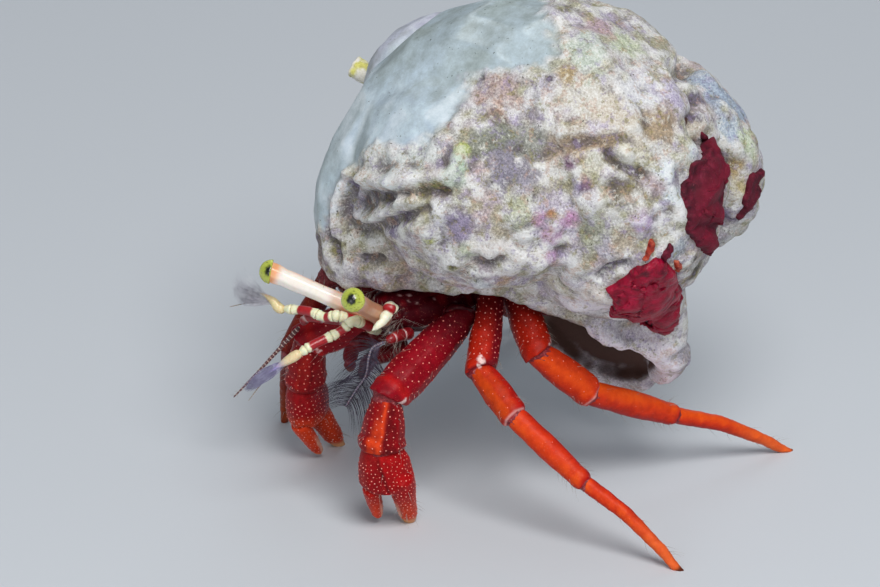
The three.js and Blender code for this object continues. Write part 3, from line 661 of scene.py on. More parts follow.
# Each tint is its colour, its radius in millimetres and its place.
TINTS = (
    ("d4cabb", 1.6, (.904, .411, .829)), ("cbc3cf", 0.7, (.897, .365, .806)),
    ("e2e2de", 1.1, (.481, .020, .706)), ("dde1df", 0.9, (.569, .024, .714)),
    ("d5d9d6", 0.9, (.617, .056, .742)), ("dcdce0", 1.3, (.876, .509, .869)),
    ("cac2d6", 1.1, (.891, .570, .842)), ("d8d4cc", 1.1, (.830, .355, .875)),
    ("ad9692", 1.1, (.675, .238, .865)), ("8a7466", 0.5, (.713, .208, .826)),
    ("a4907c", 0.8, (.828, .286, .764)), ("a48d72", 0.8, (.873, .324, .784)),
    ("9c8462", 0.65, (.910, .382, .796)), ("dedac6", 0.5, (.939, .411, .765)),
    ("6b5f36", 0.45, (.931, .385, .759)), ("565232", 0.4, (.968, .437, .721)),
    ("6e6148", 0.9, (.958, .399, .690)), ("7f8174", 1, (.724, .155, .779)),
    ("787c6c", 1, (.768, .198, .776)), ("85867c", 0.9, (.787, .250, .774)),
    ("7f7989", 1, (.785, .173, .739)), ("8b8594", 0.9, (.821, .211, .726)),
    ("c68cb6", 0.45, (.870, .309, .608)), ("c28cb0", 0.42, (.855, .228, .623)),
    ("c9a6c4", 0.7, (.854, .274, .587)), ("b992b8", 0.4, (.834, .279, .518)),
    ("a8713c", 0.22, (.862, .263, .629)), ("74506e", 0.35, (.906, .326, .694)),
    ("7d5876", 0.35, (.865, .304, .742)), ("c6add2", 0.6, (.978, .434, .608)),
    ("d6dfe4", 0.5, (.977, .499, .716)), ("d3dce0", 0.5, (.991, .513, .658)),
    ("cfd8dc", 0.45, (.959, .577, .733)), ("adb5be", 0.7, (.982, .533, .518)),
    ("dfe6f0", 0.3, (.340, .021, .589)), ("dde4f0", 0.3, (.321, .011, .536)),
    # painted shade in the hollow: 533b58 and 46352e just below, and 6c5666 on the line after
    ("533b58", 0.34, (.475, .007, .612)), ("46352e", 0.36, (.535, .005, .625)),
    ("6c5666", 0.35, (.420, .020, .576)), ("e8efea", 0.3, (.493, .015, .565)),
    ("dfe4d8", 0.3, (.596, .016, .635)), ("eaf0ee", 0.33, (.580, .017, .673)),
    ("7c7d2e", 0.38, (.681, .057, .691)), ("84853a", 0.3, (.653, .038, .680)),
    ("4e3e22", 0.28, (.698, .062, .676)), ("c8d4c2", 0.55, (.717, .086, .716)),
    ("b7cfb2", 0.45, (.716, .104, .743)), ("afbd4c", 0.33, (.701, .117, .767)),
    ("6f5c8c", 0.36, (.597, .018, .591)), ("857699", 0.5, (.542, .019, .548)),
    ("9284a2", 0.85, (.735, .081, .591)), ("96933a", 0.27, (.688, .100, .485)),
    ("a2a553", 0.25, (.661, .052, .549)), ("a49ba8", 0.5, (.343, .039, .385)),
    ("a397ae", 0.45, (.411, .080, .379)), ("5c4c3c", 0.28, (.402, .063, .420)),
    ("b39890", 0.9, (.217, .039, .375)), ("cbc4c0", 0.6, (.553, .075, .462)),
    ("c6ccd0", 0.55, (.680, .179, .426)), ("8a7c70", 0.4, (.755, .161, .494)),
    ("b5967c", 0.5, (.744, .213, .446)), ("b9c0a2", 0.7, (.748, .111, .531)),
    ("766c4e", 0.35, (.922, .391, .482)), ("a79cb4", 0.7, (.823, .402, .369)),
    ("cbc6cc", 0.6, (.812, .446, .332)), ("7f7a52", 0.35, (.619, .450, .998)),
    ("c6ceb0", 1, (.757, .544, .944)), ("b59ca6", 0.7, (.705, .507, .968)),
    ("c1cabe", 1.1, (.772, .413, .945)), ("a68e64", 0.5, (.788, .363, .918)),
    ("a58f72", 1, (.932, .515, .805)), ("9fa08a", 0.9, (.915, .342, .580)),
    ("a7a98c", 0.8, (.839, .194, .641)),
    ("a3b3ca", 1.0, (.713, .827, .737)), ("a9b6c9", 0.9, (.678, .821, .764)),
    ("a0b0c4", 0.9, (.736, .877, .696)), ("bccad9", 0.8, (.791, .813, .681)),
    ("ccd6ba", 0.8, (.803, .853, .650)), ("a58e5c", 0.5, (.811, .811, .595)),
    ("b4a478", 0.6, (.826, .824, .542)), ("5d4a6e", 0.6, (.800, .804, .477)),
    # the two tints just below are painted shade along the suture
    ("685f74", 0.45, (.813, .699, .789)), ("645a6a", 0.35, (.869, .666, .767)),
    ("8d8382", 0.8, (.219, .037, .396)), ("f8f1f6", 1.4, (.803, .386, .361)),
    ("e4dad2", 0.9, (.879, .394, .397)), ("ebe7e4", 1.2, (.817, .208, .508)),
    ("e6e0dc", 1.1, (.777, .149, .534)), ("d0c9b8", 0.9, (.778, .332, .415)),
    ("d8d4dc", 0.8, (.727, .606, .221)), ("ccd2d8", 0.6, (.777, .658, .170)),
    # the two tints just below are painted shade in the crevice between the two red crusts
    ("3c342e", 0.5, (.887, .652, .409)), ("4a4238", 0.3, (.975, .586, .473)),
)
tint = plain("bebab8", shell_points)
PATCHES = (  # share, size in millimetres, seed, colour
    (0.6, 2.6, 21, "d2ccc4"), (0.55, 2.1, 22, "aba2b8"), (0.5, 1.5, 23, "c4a9a8"),
    (0.5, 1.3, 24, "a39a68"), (0.5, 1.1, 26, "e2e2de"), (0.55, 0.6, 27, "8f8a4e"),
    (0.7, 0.55, 28, "f0efee"), (0.4, 0.65, 29, "a08fac"),
)
for share, size, seed, code in PATCHES:
    tint = paint(tint, share * ramp(lumps(shell_points, size, seed), 0.1, 0.4), code)
ragged = 1 + 0.45 * lumps(shell_points, 0.5, 35) + 0.3 * lumps(shell_points, 0.25, 36)
for code, radius, centre in TINTS:
    away = np.linalg.norm(shell_points - shell_points[on_shell(centre)[0]], axis=1)
    tint = paint(tint, 0.92 * ramp(away / (radius * ragged), 1.35, 0.6), code)

# Crevices are painted darker as shade, and crests are painted lighter as highlight. A crevice is where the
# relief lies lower than its own average over a little distance.
crest = height.copy()
for _ in range(10):
    crest = average(crest)
crest = height - crest
tint = paint(tint, 0.75 * ramp(-crest, 0.02, 0.12), "54494c")
tint = paint(tint, 0.45 * ramp(crest, 0.03, 0.11), "f0f0ef")

# The film is pale blue-grey, streaked along the edge where it turns away, and olive there.
edgewise = -(shell_facing @ ACROSS)
drawn_out = np.stack([7 * edgewise, 0.3 * shell_points[:, 2], 0.3 * shell_points[:, 0]], axis=1)
streaks = lumps(drawn_out, 1.0, 31)
cloud = 0.7 * lumps(shell_points, 2.0, 32) + 0.4 * lumps(shell_points, 0.7, 34)
cover = paint(plain("b9c8d8", shell_points), ramp(cloud, -0.2, 0.8), "dbe6f1")
cover = paint(cover, 0.85 * ramp(shell_points[:, 2], 20.0, 25.5), "8f9a9c")
cover = paint(cover, 0.8 * ramp(toward, 0.8, -0.4), "bcb8cc")  # lilac on the far side
cover = paint(cover, 0.5 * ramp(edgewise, 0.55, 1.0), "8d9484")
cover = paint(cover, 0.35 * ramp(streaks, 0.0, 0.7), "868d80")
cover = paint(cover, 0.35 * ramp(-streaks, 0.0, 0.7), "d3dbdc")
tint += film[:, None] * (cover - tint)
tint = paint(tint, 0.4 * bell(film - 0.5, 0.3), "d9dedd")
tint = paint(tint, inside, "563a31")
rim = np.full(len(shell_points), np.inf)
for radius, *places in GROWTHS[:RIM_ROWS]:
    rim = np.minimum(rim, from_line(shell_points, np.array(places)) / radius)
inner_wall = facing_line(shell_points, shell_facing, MOUTH_LINE, MOUTH_REACH, 0.66, 0.92)
rim = ramp(rim, 1.35, 1.0) * (1 - inner_wall)
tint = paint(tint, rim, "e0d8e0")
tint = paint(tint, rim * ramp(-shell_facing[:, 2], 0.0, 0.7), "faf2fa")  # painted light: the downward face of the rim, which lies in shade, is made paler
tint = paint(tint, 0.6 * rim * ramp(lumps(shell_points, 0.6, 37), 0.1, 0.5), "b3a7a4")
tint = paint(tint, 0.6 * rim * ramp(-edgewise, 0.3, 0.8), "86808a")
inside *= 1 - rim
keep(shell, "tint", tint)
keep(shell, "film", film)
keep(shell, "inside", inside)

# %% Shell finish
stone = Finish("encrusted_shell", Roughness=0.8)
outer = stone.maths("SUBTRACT", 1.0, stone.stored("inside"), clamp=True)
crusty = stone.maths("MULTIPLY", outer, stone.maths("SUBTRACT", 1.0, stone.stored("film")), clamp=True)
blotch = stone.noise(0.50, detail=6, rough=0.72, seed=1)
patch = stone.noise(0.60, detail=6, rough=0.70, seed=2)
grit = stone.noise(0.12, detail=3, rough=0.75, seed=3)
colour = stone.stored("tint", colour=True)
for value, low, high, strength, code in (
        (blotch, 0.55, 0.61, 0.40, "f2f1ea"), (blotch, 0.45, 0.38, 0.55, "847c36"),
        (patch, 0.55, 0.61, 0.40, "9585b0"), (patch, 0.45, 0.39, 0.35, "c39a80")):
    share = stone.maths("MULTIPLY", crusty, stone.between(value, low, high))
    colour = stone.mix(stone.maths("MULTIPLY", share, strength), colour, code)
light = stone.scale(grit, (0.32, "4a4a40"), (0.47, "a8a8a8"), (0.62, "f4f4f2"))
colour = stone.mix(stone.maths("ADD", stone.maths("MULTIPLY", crusty, 0.45), 0.08), colour, light, "OVERLAY")
haze = stone.scale(stone.noise(0.9, detail=6, rough=0.65, seed=6), (0.38, "a8aaa4"), (0.62, "e0e4e8"))
colour = stone.mix(stone.maths("MULTIPLY", stone.stored("film"), 0.55), colour, haze, "OVERLAY")
dots = stone.between(stone.noise(0.15, detail=1, seed=4), 0.32, 0.27)
dotted = stone.between(stone.noise(1.2, detail=2, seed=5), 0.40, 0.62)
share = stone.maths("MULTIPLY", stone.maths("MULTIPLY", dots, dotted), outer)
colour = stone.mix(stone.maths("MULTIPLY", share, 0.85), colour, "34331d")
height_map = stone.maths("ADD", stone.maths("MULTIPLY", grit, 0.6), blotch)
stone.relief(stone.maths("MULTIPLY", height_map, stone.maths("ADD", crusty, 0.15)), 0.14)
shell_finish = stone.colour(colour)

# %% [markdown]
# ## Red crusts
#
# Three patches of a deep red alga grow on the shell like spilt wax. Each one is a copy of the
# shell's own surface inside a ragged outline, refined, raised above it, and dipped below it
# all round, so the edge is where the two surfaces cross. The upper patch is cut by flat facets
# with sharp ridges, the others are lumpy, and little tongues of the same kind grow beside them.


# %% Grow a crust
def facets(spots, tops, seed):
    """Flat-sided hills that run into each other, each cut by six planes."""
    rng = np.random.default_rng(seed)
    hills = []
    for top in tops:
        ways, slopes = rng.uniform(0, math.tau, 6), rng.uniform(0.3, 0.85, 6)
        sides = [slope * (spots - top) @ (math.cos(way), math.sin(way))
                 for way, slope in zip(ways, slopes)]
        hills.append(0.45 - np.max(sides, axis=0))
    return np.maximum(np.max(hills, axis=0), -0.12)


def crust(outline, rise, relief):
    """A raised copy of the shell's surface inside an outline of places on the shell."""
    ring_at = on_shell(*outline)
    points, facing = surface(shell)
    middle = points[ring_at].mean(0)
    ahead = TOWARD
    right = np.cross(ahead, (0, 0, 1))
    right /= np.linalg.norm(right)
    flat = np.stack([right, np.cross(ahead, right)], axis=1)
    border = (points[ring_at] - middle) @ flat
    reach = np.linalg.norm(points[ring_at] - middle, axis=1).max()
    close = np.linalg.norm(points - middle, axis=1) < reach + 0.8
    close &= (facing @ ahead > 0.08) & (inside < 0.5)
    near_points = np.nonzero(close)[0]
    chosen = np.zeros(len(points), bool)
    chosen[near_points] = depth_inside((points[near_points] - middle) @ flat, border) > -0.45
    bm = bmesh.new()
    bm.from_mesh(shell)
    bm.verts.ensure_lookup_table()
    bmesh.ops.delete(bm, geom=[bm.verts[int(i)] for i in np.nonzero(~chosen)[0]], context="VERTS")
    island = fresh = {min(bm.verts, key=lambda v: (v.co - Vector(middle)).length)}
    while fresh:
        fresh = {w for v in fresh for f in v.link_faces for w in f.verts} - island
        island = island | fresh
    bmesh.ops.delete(bm, geom=[v for v in bm.verts if v not in island], context="VERTS")
    sheet = evaluated(to_mesh(bm), [("SUBSURF", {"levels": 2, "render_levels": 2})])
    points, facing = surface(sheet)
    spots = (points - middle) @ flat
    edge = depth_inside(spots, border) + 0.10 * lumps(points, 0.5, 91) + 0.06 * lumps(points, 0.2, 92)
    body = ramp(edge, 0.0, 0.22)
    lift = -0.16 + (rise + 0.16) * ramp(edge, -0.10, 0.08) + body * relief(spots, points, edge)
    move_to(sheet, points + facing * lift[:, None])
    keep(sheet, "lift", lift)
    return evaluated(sheet, [("SOLIDIFY", {"thickness": 0.12, "offset": -1})])


alga = Finish("red_crust", Roughness=0.7, Specular_IOR_Level=0.25, Subsurface_Weight=0.1,
              Subsurface_Scale=0.0003)
bloom = alga.noise(0.5, detail=5)
pores = alga.noise(0.09, detail=2)
rind = alga.scale(bloom, (0.30, "280511"), (0.46, "4a0b1e"), (0.60, "641228"), (0.74, "7c2e44"))
rind = alga.mix(alga.between(alga.stored("lift"), 0.20, 0.55), rind, alga.mix(0.4, rind, "8a1430"))
rind = alga.mix(alga.between(pores, 0.64, 0.72), rind, "904050")
alga.relief(alga.maths("ADD", bloom, pores), 0.05)
crust_finish = alga.colour(rind)

jelly = Finish("crimson_crust", Roughness=0.45, Specular_IOR_Level=0.2, Subsurface_Weight=0.2,
               Subsurface_Scale=0.0005, Coat_Weight=0.1)
swirl = jelly.noise(0.6, detail=4)
speckle = jelly.noise(0.08, detail=2)
pulp = jelly.scale(swirl, (0.32, "54021a"), (0.48, "860326"), (0.60, "9c0830"), (0.75, "aa2546"))
pulp = jelly.mix(jelly.between(speckle, 0.66, 0.74), pulp, "b85a6c")
jelly.relief(jelly.maths("ADD", swirl, speckle), 0.05)
crimson_finish = jelly.colour(pulp)

ember = Finish("ember_crust", Roughness=0.5, Specular_IOR_Level=0.3, Subsurface_Weight=0.2,
               Subsurface_Scale=0.0003)
glow = ember.scale(ember.noise(0.25, detail=3), (0.35, "6a1010"), (0.5, "98301f"), (0.68, "b8664c"))
ember_finish = ember.colour(glow)

# %% Place the crusts
PEAKS = ((0.1, -2.2), (-0.5, -0.9), (0.2, 0.6), (-0.1, 2.2))  # of the facets on the upper patch
# Each crust is its outline on the shell, its height, the relief on top, and its finish.
CRUSTS = {
    "crust_upper": (
        ((.889, .663, .740), (.954, .624, .707), (.982, .570, .715), (.983, .562, .683), (.987, .538, .675),
         (1.01, .540, .611), (.997, .546, .569), (.961, .618, .486), (.872, .692, .433), (.925, .669, .480),
         (.935, .670, .518), (.964, .661, .571), (.957, .674, .610), (.943, .691, .638), (.923, .707, .661),
         (.895, .700, .690)),
        0.26, lambda spots, points, edge: facets(spots, PEAKS, 5) + 0.05 * lumps(points, 0.4, 93),
        crust_finish),
    "crust_lower": (
        ((.981, .475, .512), (.975, .453, .504), (.950, .438, .486), (.915, .420, .452), (.895, .396, .426),
         (.889, .414, .392), (.829, .451, .343), (.804, .513, .306), (.724, .590, .251), (.730, .618, .237),
         (.747, .632, .223), (.774, .643, .220), (.787, .657, .232), (.820, .646, .271), (.844, .628, .320),
         (.879, .609, .367), (.920, .576, .419), (.972, .531, .472), (.982, .501, .498)),
        0.34, lambda spots, points, edge: 0.22 * ramp(edge, 0, 1.0) + 0.11 * np.abs(lumps(points, 0.7, 94))
        + 0.07 * lumps(points, 0.3, 95), crimson_finish),
    "crust_far": (
        ((.824, .851, .567), (.8, .889, .567), (.813, .881, .536), (.804, .877, .49), (.815, .847, .476),
         (.818, .826, .462), (.827, .834, .512), (.832, .84, .541)),
        0.22, lambda spots, points, edge: 0.12 * lumps(points, 0.6, 96), crust_finish),
    "crust_tongue_1": (
        ((.975, .464, .550), (.977, .471, .546), (.978, .465, .529), (.977, .457, .511), (.973, .448, .514),
         (.976, .455, .536)), 0.25, lambda spots, points, edge: 0.1 * lumps(points, 0.2, 89), ember_finish),
    "crust_tongue_2": (
        ((.990, .502, .543), (.994, .511, .538), (.989, .509, .522), (.984, .498, .508), (.984, .489, .515),
         (.987, .499, .529)), 0.3, lambda spots, points, edge: 0.1 * lumps(points, 0.2, 88), crust_finish),
    "crust_tongue_3": (
        ((.976, .532, .487), (.981, .542, .489), (.971, .551, .469), (.964, .545, .458), (.967, .529, .466)),
        0.2, lambda spots, points, edge: 0.2 * lumps(points, 0.2, 87), ember_finish),
}
for name, (outline, rise, relief, finish) in CRUSTS.items():
    place(name, crust(outline, rise, relief), "shell", finishes=[finish])

# %% [markdown]
# ## Worm tube
#
# A tube worm has cemented its small white tube to the far side. It is turned like a pot:
# outer wall, rolled lip, and the bore down to its floor.


# %% Turn the worm tube
def turned(profile, start, end, steps=28):
    """A solid of revolution: the profile is (distance along, radius), closed at both ends."""
    ahead = Vector(end - start).normalized()
    side = ahead.orthogonal().normalized()
    bm = bmesh.new()
    ring = [bm.verts.new(Vector(start) + ahead * a + side * r) for a, r in profile]
    for a, b in zip(ring, ring[1:]):
        bm.edges.new((a, b))
    bmesh.ops.spin(bm, geom=bm.verts[:] + bm.edges[:], cent=Vector(start), axis=ahead,
                   angle=math.tau, steps=steps, use_merge=True, use_duplicate=False)
    bmesh.ops.remove_doubles(bm, verts=bm.verts, dist=1e-4)
    bmesh.ops.recalc_face_normals(bm, faces=bm.faces)
    return to_mesh(bm)

# %% Place the worm tube
WORM_FROM, WORM_TO, WORM_RADIUS, BORE_RADIUS = (-6.6, 1.0, 18.9), (-8.6, 0.0, 19.6), 0.54, 0.30
worm_start, worm_end = set_out(WORM_FROM, WORM_TO)
length = np.linalg.norm(worm_end - worm_start)
profile = [(0, 0), (0, WORM_RADIUS * 1.1), (length * 0.5, WORM_RADIUS), (length - 0.14, WORM_RADIUS * 1.04),
           (length - 0.03, WORM_RADIUS), (length, WORM_RADIUS * 0.82), (length - 0.03, BORE_RADIUS * 1.15),
           (length - 0.15, BORE_RADIUS), (length - 0.6, BORE_RADIUS), (length - 0.66, 0)]
worm = evaluated(turned(profile, worm_start, worm_end), [("SUBSURF", {"levels": 2, "render_levels": 2})])
points, facing = surface(worm)
share, out = along(points, worm_start, worm_end)
rings = 0.02 * np.sin(share * 40) + 0.05 * lumps(points, 0.3, 97)
move_to(worm, points + facing * rings[:, None] * ramp(np.linalg.norm(out, axis=1), 0.3, 0.45)[:, None])
tint = paint(plain("dcd8cc", points), ramp(lumps(points, 0.35, 98), 0, 0.5), "c9c46a")
# painted shade: the walls and floor of the bore are darkened
tint = paint(tint, ramp(np.linalg.norm(out, axis=1), 0.34, 0.26) * ramp(share, 0.5, 0.75), "4a4a22")
keep(worm, "tint", tint)
chalk = Finish("worm_chalk", Roughness=0.8)
dust = chalk.noise(0.12, detail=4)
chalk.relief(dust, 0.03)
chalk_finish = chalk.colour(chalk.mix(0.5, chalk.stored("tint", colour=True),
                                      chalk.scale(dust, (0.35, "777777"), (0.65, "dddddd")), "OVERLAY"))
place("worm_tube_chalky", worm, "worm_tube", ["worm_tube"], [chalk_finish])

# %% Place the shell
place("shell_crusted", shell, "shell", ["shell"], [shell_finish])

# %% [markdown]
# ## Where the limbs bend
#
# A crab's limb is a row of stiff tubes, and each wears its skeleton outside. The solids
# already give every tube its length and slope, so the joints are found between them: the
# middle of the points where two neighbouring solids come closest.


# %% Joints, measured from the solids
def joint(first, second):
    """Middle and radius of the gap between two neighbouring solids, in millimetres."""
    a, b = (numbers(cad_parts[name].data) / MM for name in (first, second))
    apart = np.linalg.norm(a[:, None] - b[None], axis=2)
    edge = np.concatenate([a[apart.min(1) < 0.6], b[apart.min(0) < 0.6]])
    middle = (edge.min(0) + edge.max(0)) / 2
    return middle, np.linalg.norm(edge - middle, axis=1).mean()


def far_end(name, start):
    """Middle of the end of a solid that is farthest from a place."""
    points = numbers(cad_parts[name].data) / MM
    away = np.linalg.norm(points - start, axis=1)
    return points[away > away.max() - 0.5].mean(0)


SIDES = ("L", "R")
CLAW_PARTS = ("ischium", "merus", "carpus", "palm")
LEG_PARTS = ("ischium", "merus", "carpus", "propodus", "dactyl")
LIMBS = {f"cheliped_{side}": CLAW_PARTS for side in SIDES}
LIMBS.update({f"leg_{pair}_{side}": LEG_PARTS for pair in (2, 3) for side in SIDES})

bends = {}  # limb: joints from hip to tip, each a place and a radius
for limb, parts in LIMBS.items():
    names = [f"{limb}_{part}" for part in parts]
    between = [joint(a, b) for a, b in zip(names, names[1:])]
    hip = far_end(names[0], between[0][0])
    tip = far_end(names[-1], between[-1][0])
    bends[limb] = [(hip, between[0][1]), *between, (tip, 0.2)]
    print(limb, "bends at", [tuple(round(float(c), 1) for c in place) for place, _ in bends[limb]])

# %% [markdown]
# ## Armour
#
# Each tube is remade from fine squares, so its facets round off, and then shaped along its
# own axis: pinched where it enters its neighbour, flared to a rim where the next one leaves.
# The colour is laid on at the same time. It runs from crimson on the flank that faces the tail to orange on
# the front and top: partly how the legs are marked in life, and partly painted light, with the side that
# faces up and forward made lighter as if lit and the back flank darker as if shaded. Near the body and on
# the far side the legs are painted darker as shade.

# %% Armour segments
FRONT = np.array((-0.25, -0.75, 0.60))
CRIMSON, DEEP, RED, VERMILION, ORANGE = "7a0818", "3d040c", "a80f14", "d03410", "ee6418"
PALE = "ead2cd"


def armour(node, start, end, voxel, rim=0.05, pinch=0.10, enter=0.30):
    """One segment as a rounded tube that slips into the last one and ends in a slight rim."""
    mesh = skin(solid(node), 2 * voxel, 2)
    relax(mesh, 70)
    mesh = evaluated(mesh, [("SUBSURF", {"levels": 1, "render_levels": 1})])
    points = numbers(mesh)
    share, out = along(points, start, end)
    radius = np.linalg.norm(out, axis=1, keepdims=True)
    length = np.linalg.norm(end - start)
    left = (1 - share) * length
    entered = share * length
    swell = rim * bell(left - 0.25, 0.14) - 0.6 * rim * bell(left - 0.60, 0.16)
    swell -= pinch * ramp(entered, 0.45, 0.0)
    swell += 0.02 * lumps(points, 0.5, 41)
    points += out / np.maximum(radius, 0.05) * (swell * ramp(radius[:, 0], 0.1, 0.4))[:, None]
    slide = 0.10 * ramp(left, 0.5, 0.0) - enter * ramp(entered, 0.6, 0.0)
    points += (end - start) / length * slide[:, None]
    move_to(mesh, points)
    return mesh, points, share, numbers(mesh, "normal")


def joined(meshes):
    """Several meshes as one, keeping the tint stored on each."""
    bm = bmesh.new()
    for mesh in meshes:
        bm.from_mesh(mesh)
    return to_mesh(bm)


def hinge(limb, k):
    """The axis that a limb bends about at its k-th joint."""
    a, b, c = (bends[limb][k + step][0] for step in (-1, 0, 1))
    turn = np.cross(b - a, c - b)
    return turn / max(np.linalg.norm(turn), 1e-6)


KNEE = 2  # the joint between the merus and the carpus, counted from the hip
FLECK_REACH = 0.20


def knuckles(points, tint, limb):
    """Whitens the edges beside the knee in ragged flecks, most at the two ends of its hinge."""
    place, radius = bends[limb][KNEE]
    turn = hinge(limb, KNEE)
    fleck = 0.26 * lumps(points, 0.22, 51) + 0.14 * lumps(points, 0.11, 52)
    for side in (-1, 1):
        ball = np.linalg.norm(points - place - side * turn * radius, axis=1)
        tint = paint(tint, 0.9 * ramp(ball + fleck, FLECK_REACH + 0.06, FLECK_REACH - 0.06), PALE)
    return tint


def leg_tint(points, share, facing, part, limb):
    """Crimson behind, orange in front, with redder edges and a darker groove."""
    # orange towards the front and top: partly the legs' own marking, partly painted light on the side that
    # faces up
    front = {"leg_3_L": np.array((0.35, -0.55, 0.76))}.get(limb, FRONT)
    band = ramp(facing @ front, -0.35, 0.55)
    wave = lumps(points, 0.9, 42)
    # painted shade: the ischium, under the shell, is near-black red
    if part == "ischium":
        return plain(DEEP, points)
    if part == "merus":
        tint = paint(plain(CRIMSON, points), band, "b4220f")
        # painted shade: the merus darkens towards the hip, under the shell
        return paint(tint, 0.85 * ramp(share, 0.8, 0.1), "5f0612")
    tint = paint(plain(RED, points), band, VERMILION)
    tint = paint(tint, 0.65 * ramp(facing @ front + 0.15 * wave, 0.3, 0.85), ORANGE)
    if limb.endswith("R"):
        tint = paint(tint, 0.88, "5c0810")  # painted shade: the far legs are darkened as if in shadow
    elif limb.startswith("leg_2") and part == "carpus":
        tint = paint(tint, 0.40, "9c0c10")
    if part == "carpus":
        tint = paint(tint, 0.5 * bell(facing @ np.array((0.55, -0.2, 0.8)) - 0.9, 0.12), RED)
    if part == "dactyl":
        # orange towards the tip; the far legs get less of it, as painted shade
        tint = paint(tint, (0.2 if limb.endswith("R") else 0.5) * ramp(share, 0.3, 0.9), "f4803a")
        tint = paint(tint, ramp(share, 0.955, 0.985), "5a2410")
    return tint


# %% Walking legs
legs = {}
for limb, parts in LIMBS.items():
    if limb.startswith("cheliped"):
        continue
    for k, part in enumerate(parts):
        start, end = bends[limb][k][0], bends[limb][k + 1][0]
        last = part == "dactyl"
        mesh, points, share, facing = armour(
            f"{limb}_{part}", start, end, 0.08, rim=0.0 if last else 0.015, pinch=0.06)
        tint = leg_tint(points, share, facing, part, limb)
        if part in ("merus", "carpus"):
            tint = knuckles(points, tint, limb)
        if part in ("carpus", "propodus"):
            tint = paint(tint, 0.4 * ramp(np.abs(share - (part == "carpus")), 0.03, 0.0), PALE)
        if part == "dactyl":
            tint = paint(tint, 0.5 * ramp(share, 0.03, 0.0), "f6b493")
        keep(mesh, "tint", tint)
        legs[limb, part] = mesh
print(len(legs), "leg segments")

# %% [markdown]
# ## Claw arms
#
# The two arms are alike in this kind. The upper segment is crimson with a smooth raised rim before the
# joint, painted darker towards the body as shade. The next carries a narrow orange stripe beside a dark
# furrow, between two knobbed edges. The hand is a blunt hook with one movable finger, both covered by pale
# warts, and a furrow runs down it from the wrist to the gap between them, painted dark as shade. The far arm
# is painted darker as shade.


# %% Claw arm segments
def claw_tint(points, share, facing, part, limb, out):
    """Crimson arm, a striped wrist, a bright red hand and orange fingertips."""
    near_side = limb.endswith("L")
    in_front = ramp(facing @ TOWARD, 0.1, 0.5)
    across = facing @ ACROSS + 0.13 * lumps(points, 0.45, 43)
    # the ischium's near-black red is painted shade under the shell
    tone = {"ischium": DEEP, "merus": "8a0618", "carpus": "8c0610", "palm": "a6080e", "finger": "ac100c"}
    tint = plain(tone[part], points)
    if part == "merus":
        # painted shade: the merus darkens towards the body
        tint = paint(tint, 0.85 * ramp(share, 0.55, 0.1), "4a0410")
        tint = paint(tint, 0.6 * bell((1 - share) - 0.05, 0.04), "c01a16")
    if part == "carpus":
        # the far arm's stripe is dimmed as painted shade
        bright = 0.95 if near_side else 0.15
        middle = -0.05 - 0.25 * share  # the stripe slants down the wrist
        tint = paint(tint, bright * in_front * bell(across - middle, 0.22), "dc4216")
        tint = paint(tint, 0.55 * in_front * bell(across - middle - 0.46, 0.15), "4c030c")
    if part in ("palm", "finger"):
        # lighter red on the front and top of the hand: partly its own colour, partly painted light; the far
        # hand gets less, and its palm is painted darker as shade
        tint = paint(tint, (0.45 if near_side else 0.1) * ramp(facing @ FRONT, 0.1, 0.9), "cc2010")
        if part == "palm" and not near_side:
            tint = paint(tint, 0.6, "7c0510")
        if near_side and part == "palm":
            offset = out @ ACROSS + 0.25
            tint = paint(tint, 0.55 * ramp(offset, 0.05, -0.25), "7c0610")
            # painted shade: the groove cut down the palm is darkened
            furrow = bell(offset + 0.06 * lumps(points, 0.5, 44), 0.11) * ramp(share, -0.1, 0.1)
            tint = paint(tint, 0.6 * in_front * furrow, "48030c")
        tips = ramp(points[:, 2], 2.4, 0.7) if near_side else ramp(points[:, 2], 3.2, 2.2)
        tint = paint(tint, 0.6 * tips, "e04818")
        inner = facing @ ACROSS * (1 if part == "finger" else -1)
        tint = paint(tint, 0.8 * ramp(inner, 0.55, 0.85) * ramp(points[:, 2], 1.7, 1.1), "dcb8a0")
        tint = paint(tint, 0.8 * ramp(points[:, 2], 0.5, 0.12), "e0b27c")
    return tint


claws = {}
for limb in ("cheliped_L", "cheliped_R"):
    parts = (*CLAW_PARTS, "finger")
    for k, part in enumerate(parts):
        k = min(k, 3)
        start, end = bends[limb][k][0], bends[limb][k + 1][0]
        hand = part in ("palm", "finger")
        mesh, points, share, facing = armour(
            f"{limb}_{part}", start, end, 0.07, rim=0.0 if hand else 0.045,
            pinch=0.05 if part == "finger" else 0.15, enter=0.1 if part == "finger" else 0.3)
        out = along(points, start, end)[1]
        if part == "palm" and limb.endswith("L"):
            groove = 0.12 * bell(out @ ACROSS + 0.25, 0.13) * ramp(share, 0.0, 0.2)
            points -= facing * groove[:, None] * ramp(facing @ TOWARD, 0.1, 0.5)[:, None]
            move_to(mesh, points)
        tint = claw_tint(points, share, facing, part, limb, out)
        if part in ("merus", "carpus"):
            tint = knuckles(points, tint, limb)
        keep(mesh, "tint", tint)
        claws[limb, part] = mesh
print(len(claws), "claw arm segments")

# %% Red armour finish
shellac = Finish("red_armour", Roughness=0.38, Specular_IOR_Level=0.12)
mottle = shellac.noise(0.35, detail=4)
grain = shellac.noise(0.07, detail=2)
base = shellac.stored("tint", colour=True)
base = shellac.mix(0.45, base, shellac.scale(mottle, (0.35, "7a7a7a"), (0.62, "c4c4c4")), "OVERLAY")
base = shellac.mix(shellac.between(grain, 0.62, 0.72), base, shellac.mix(0.25, base, "ff9a78"))
shellac.relief(shellac.maths("ADD", mottle, grain), 0.02)
armour_finish = shellac.colour(base)

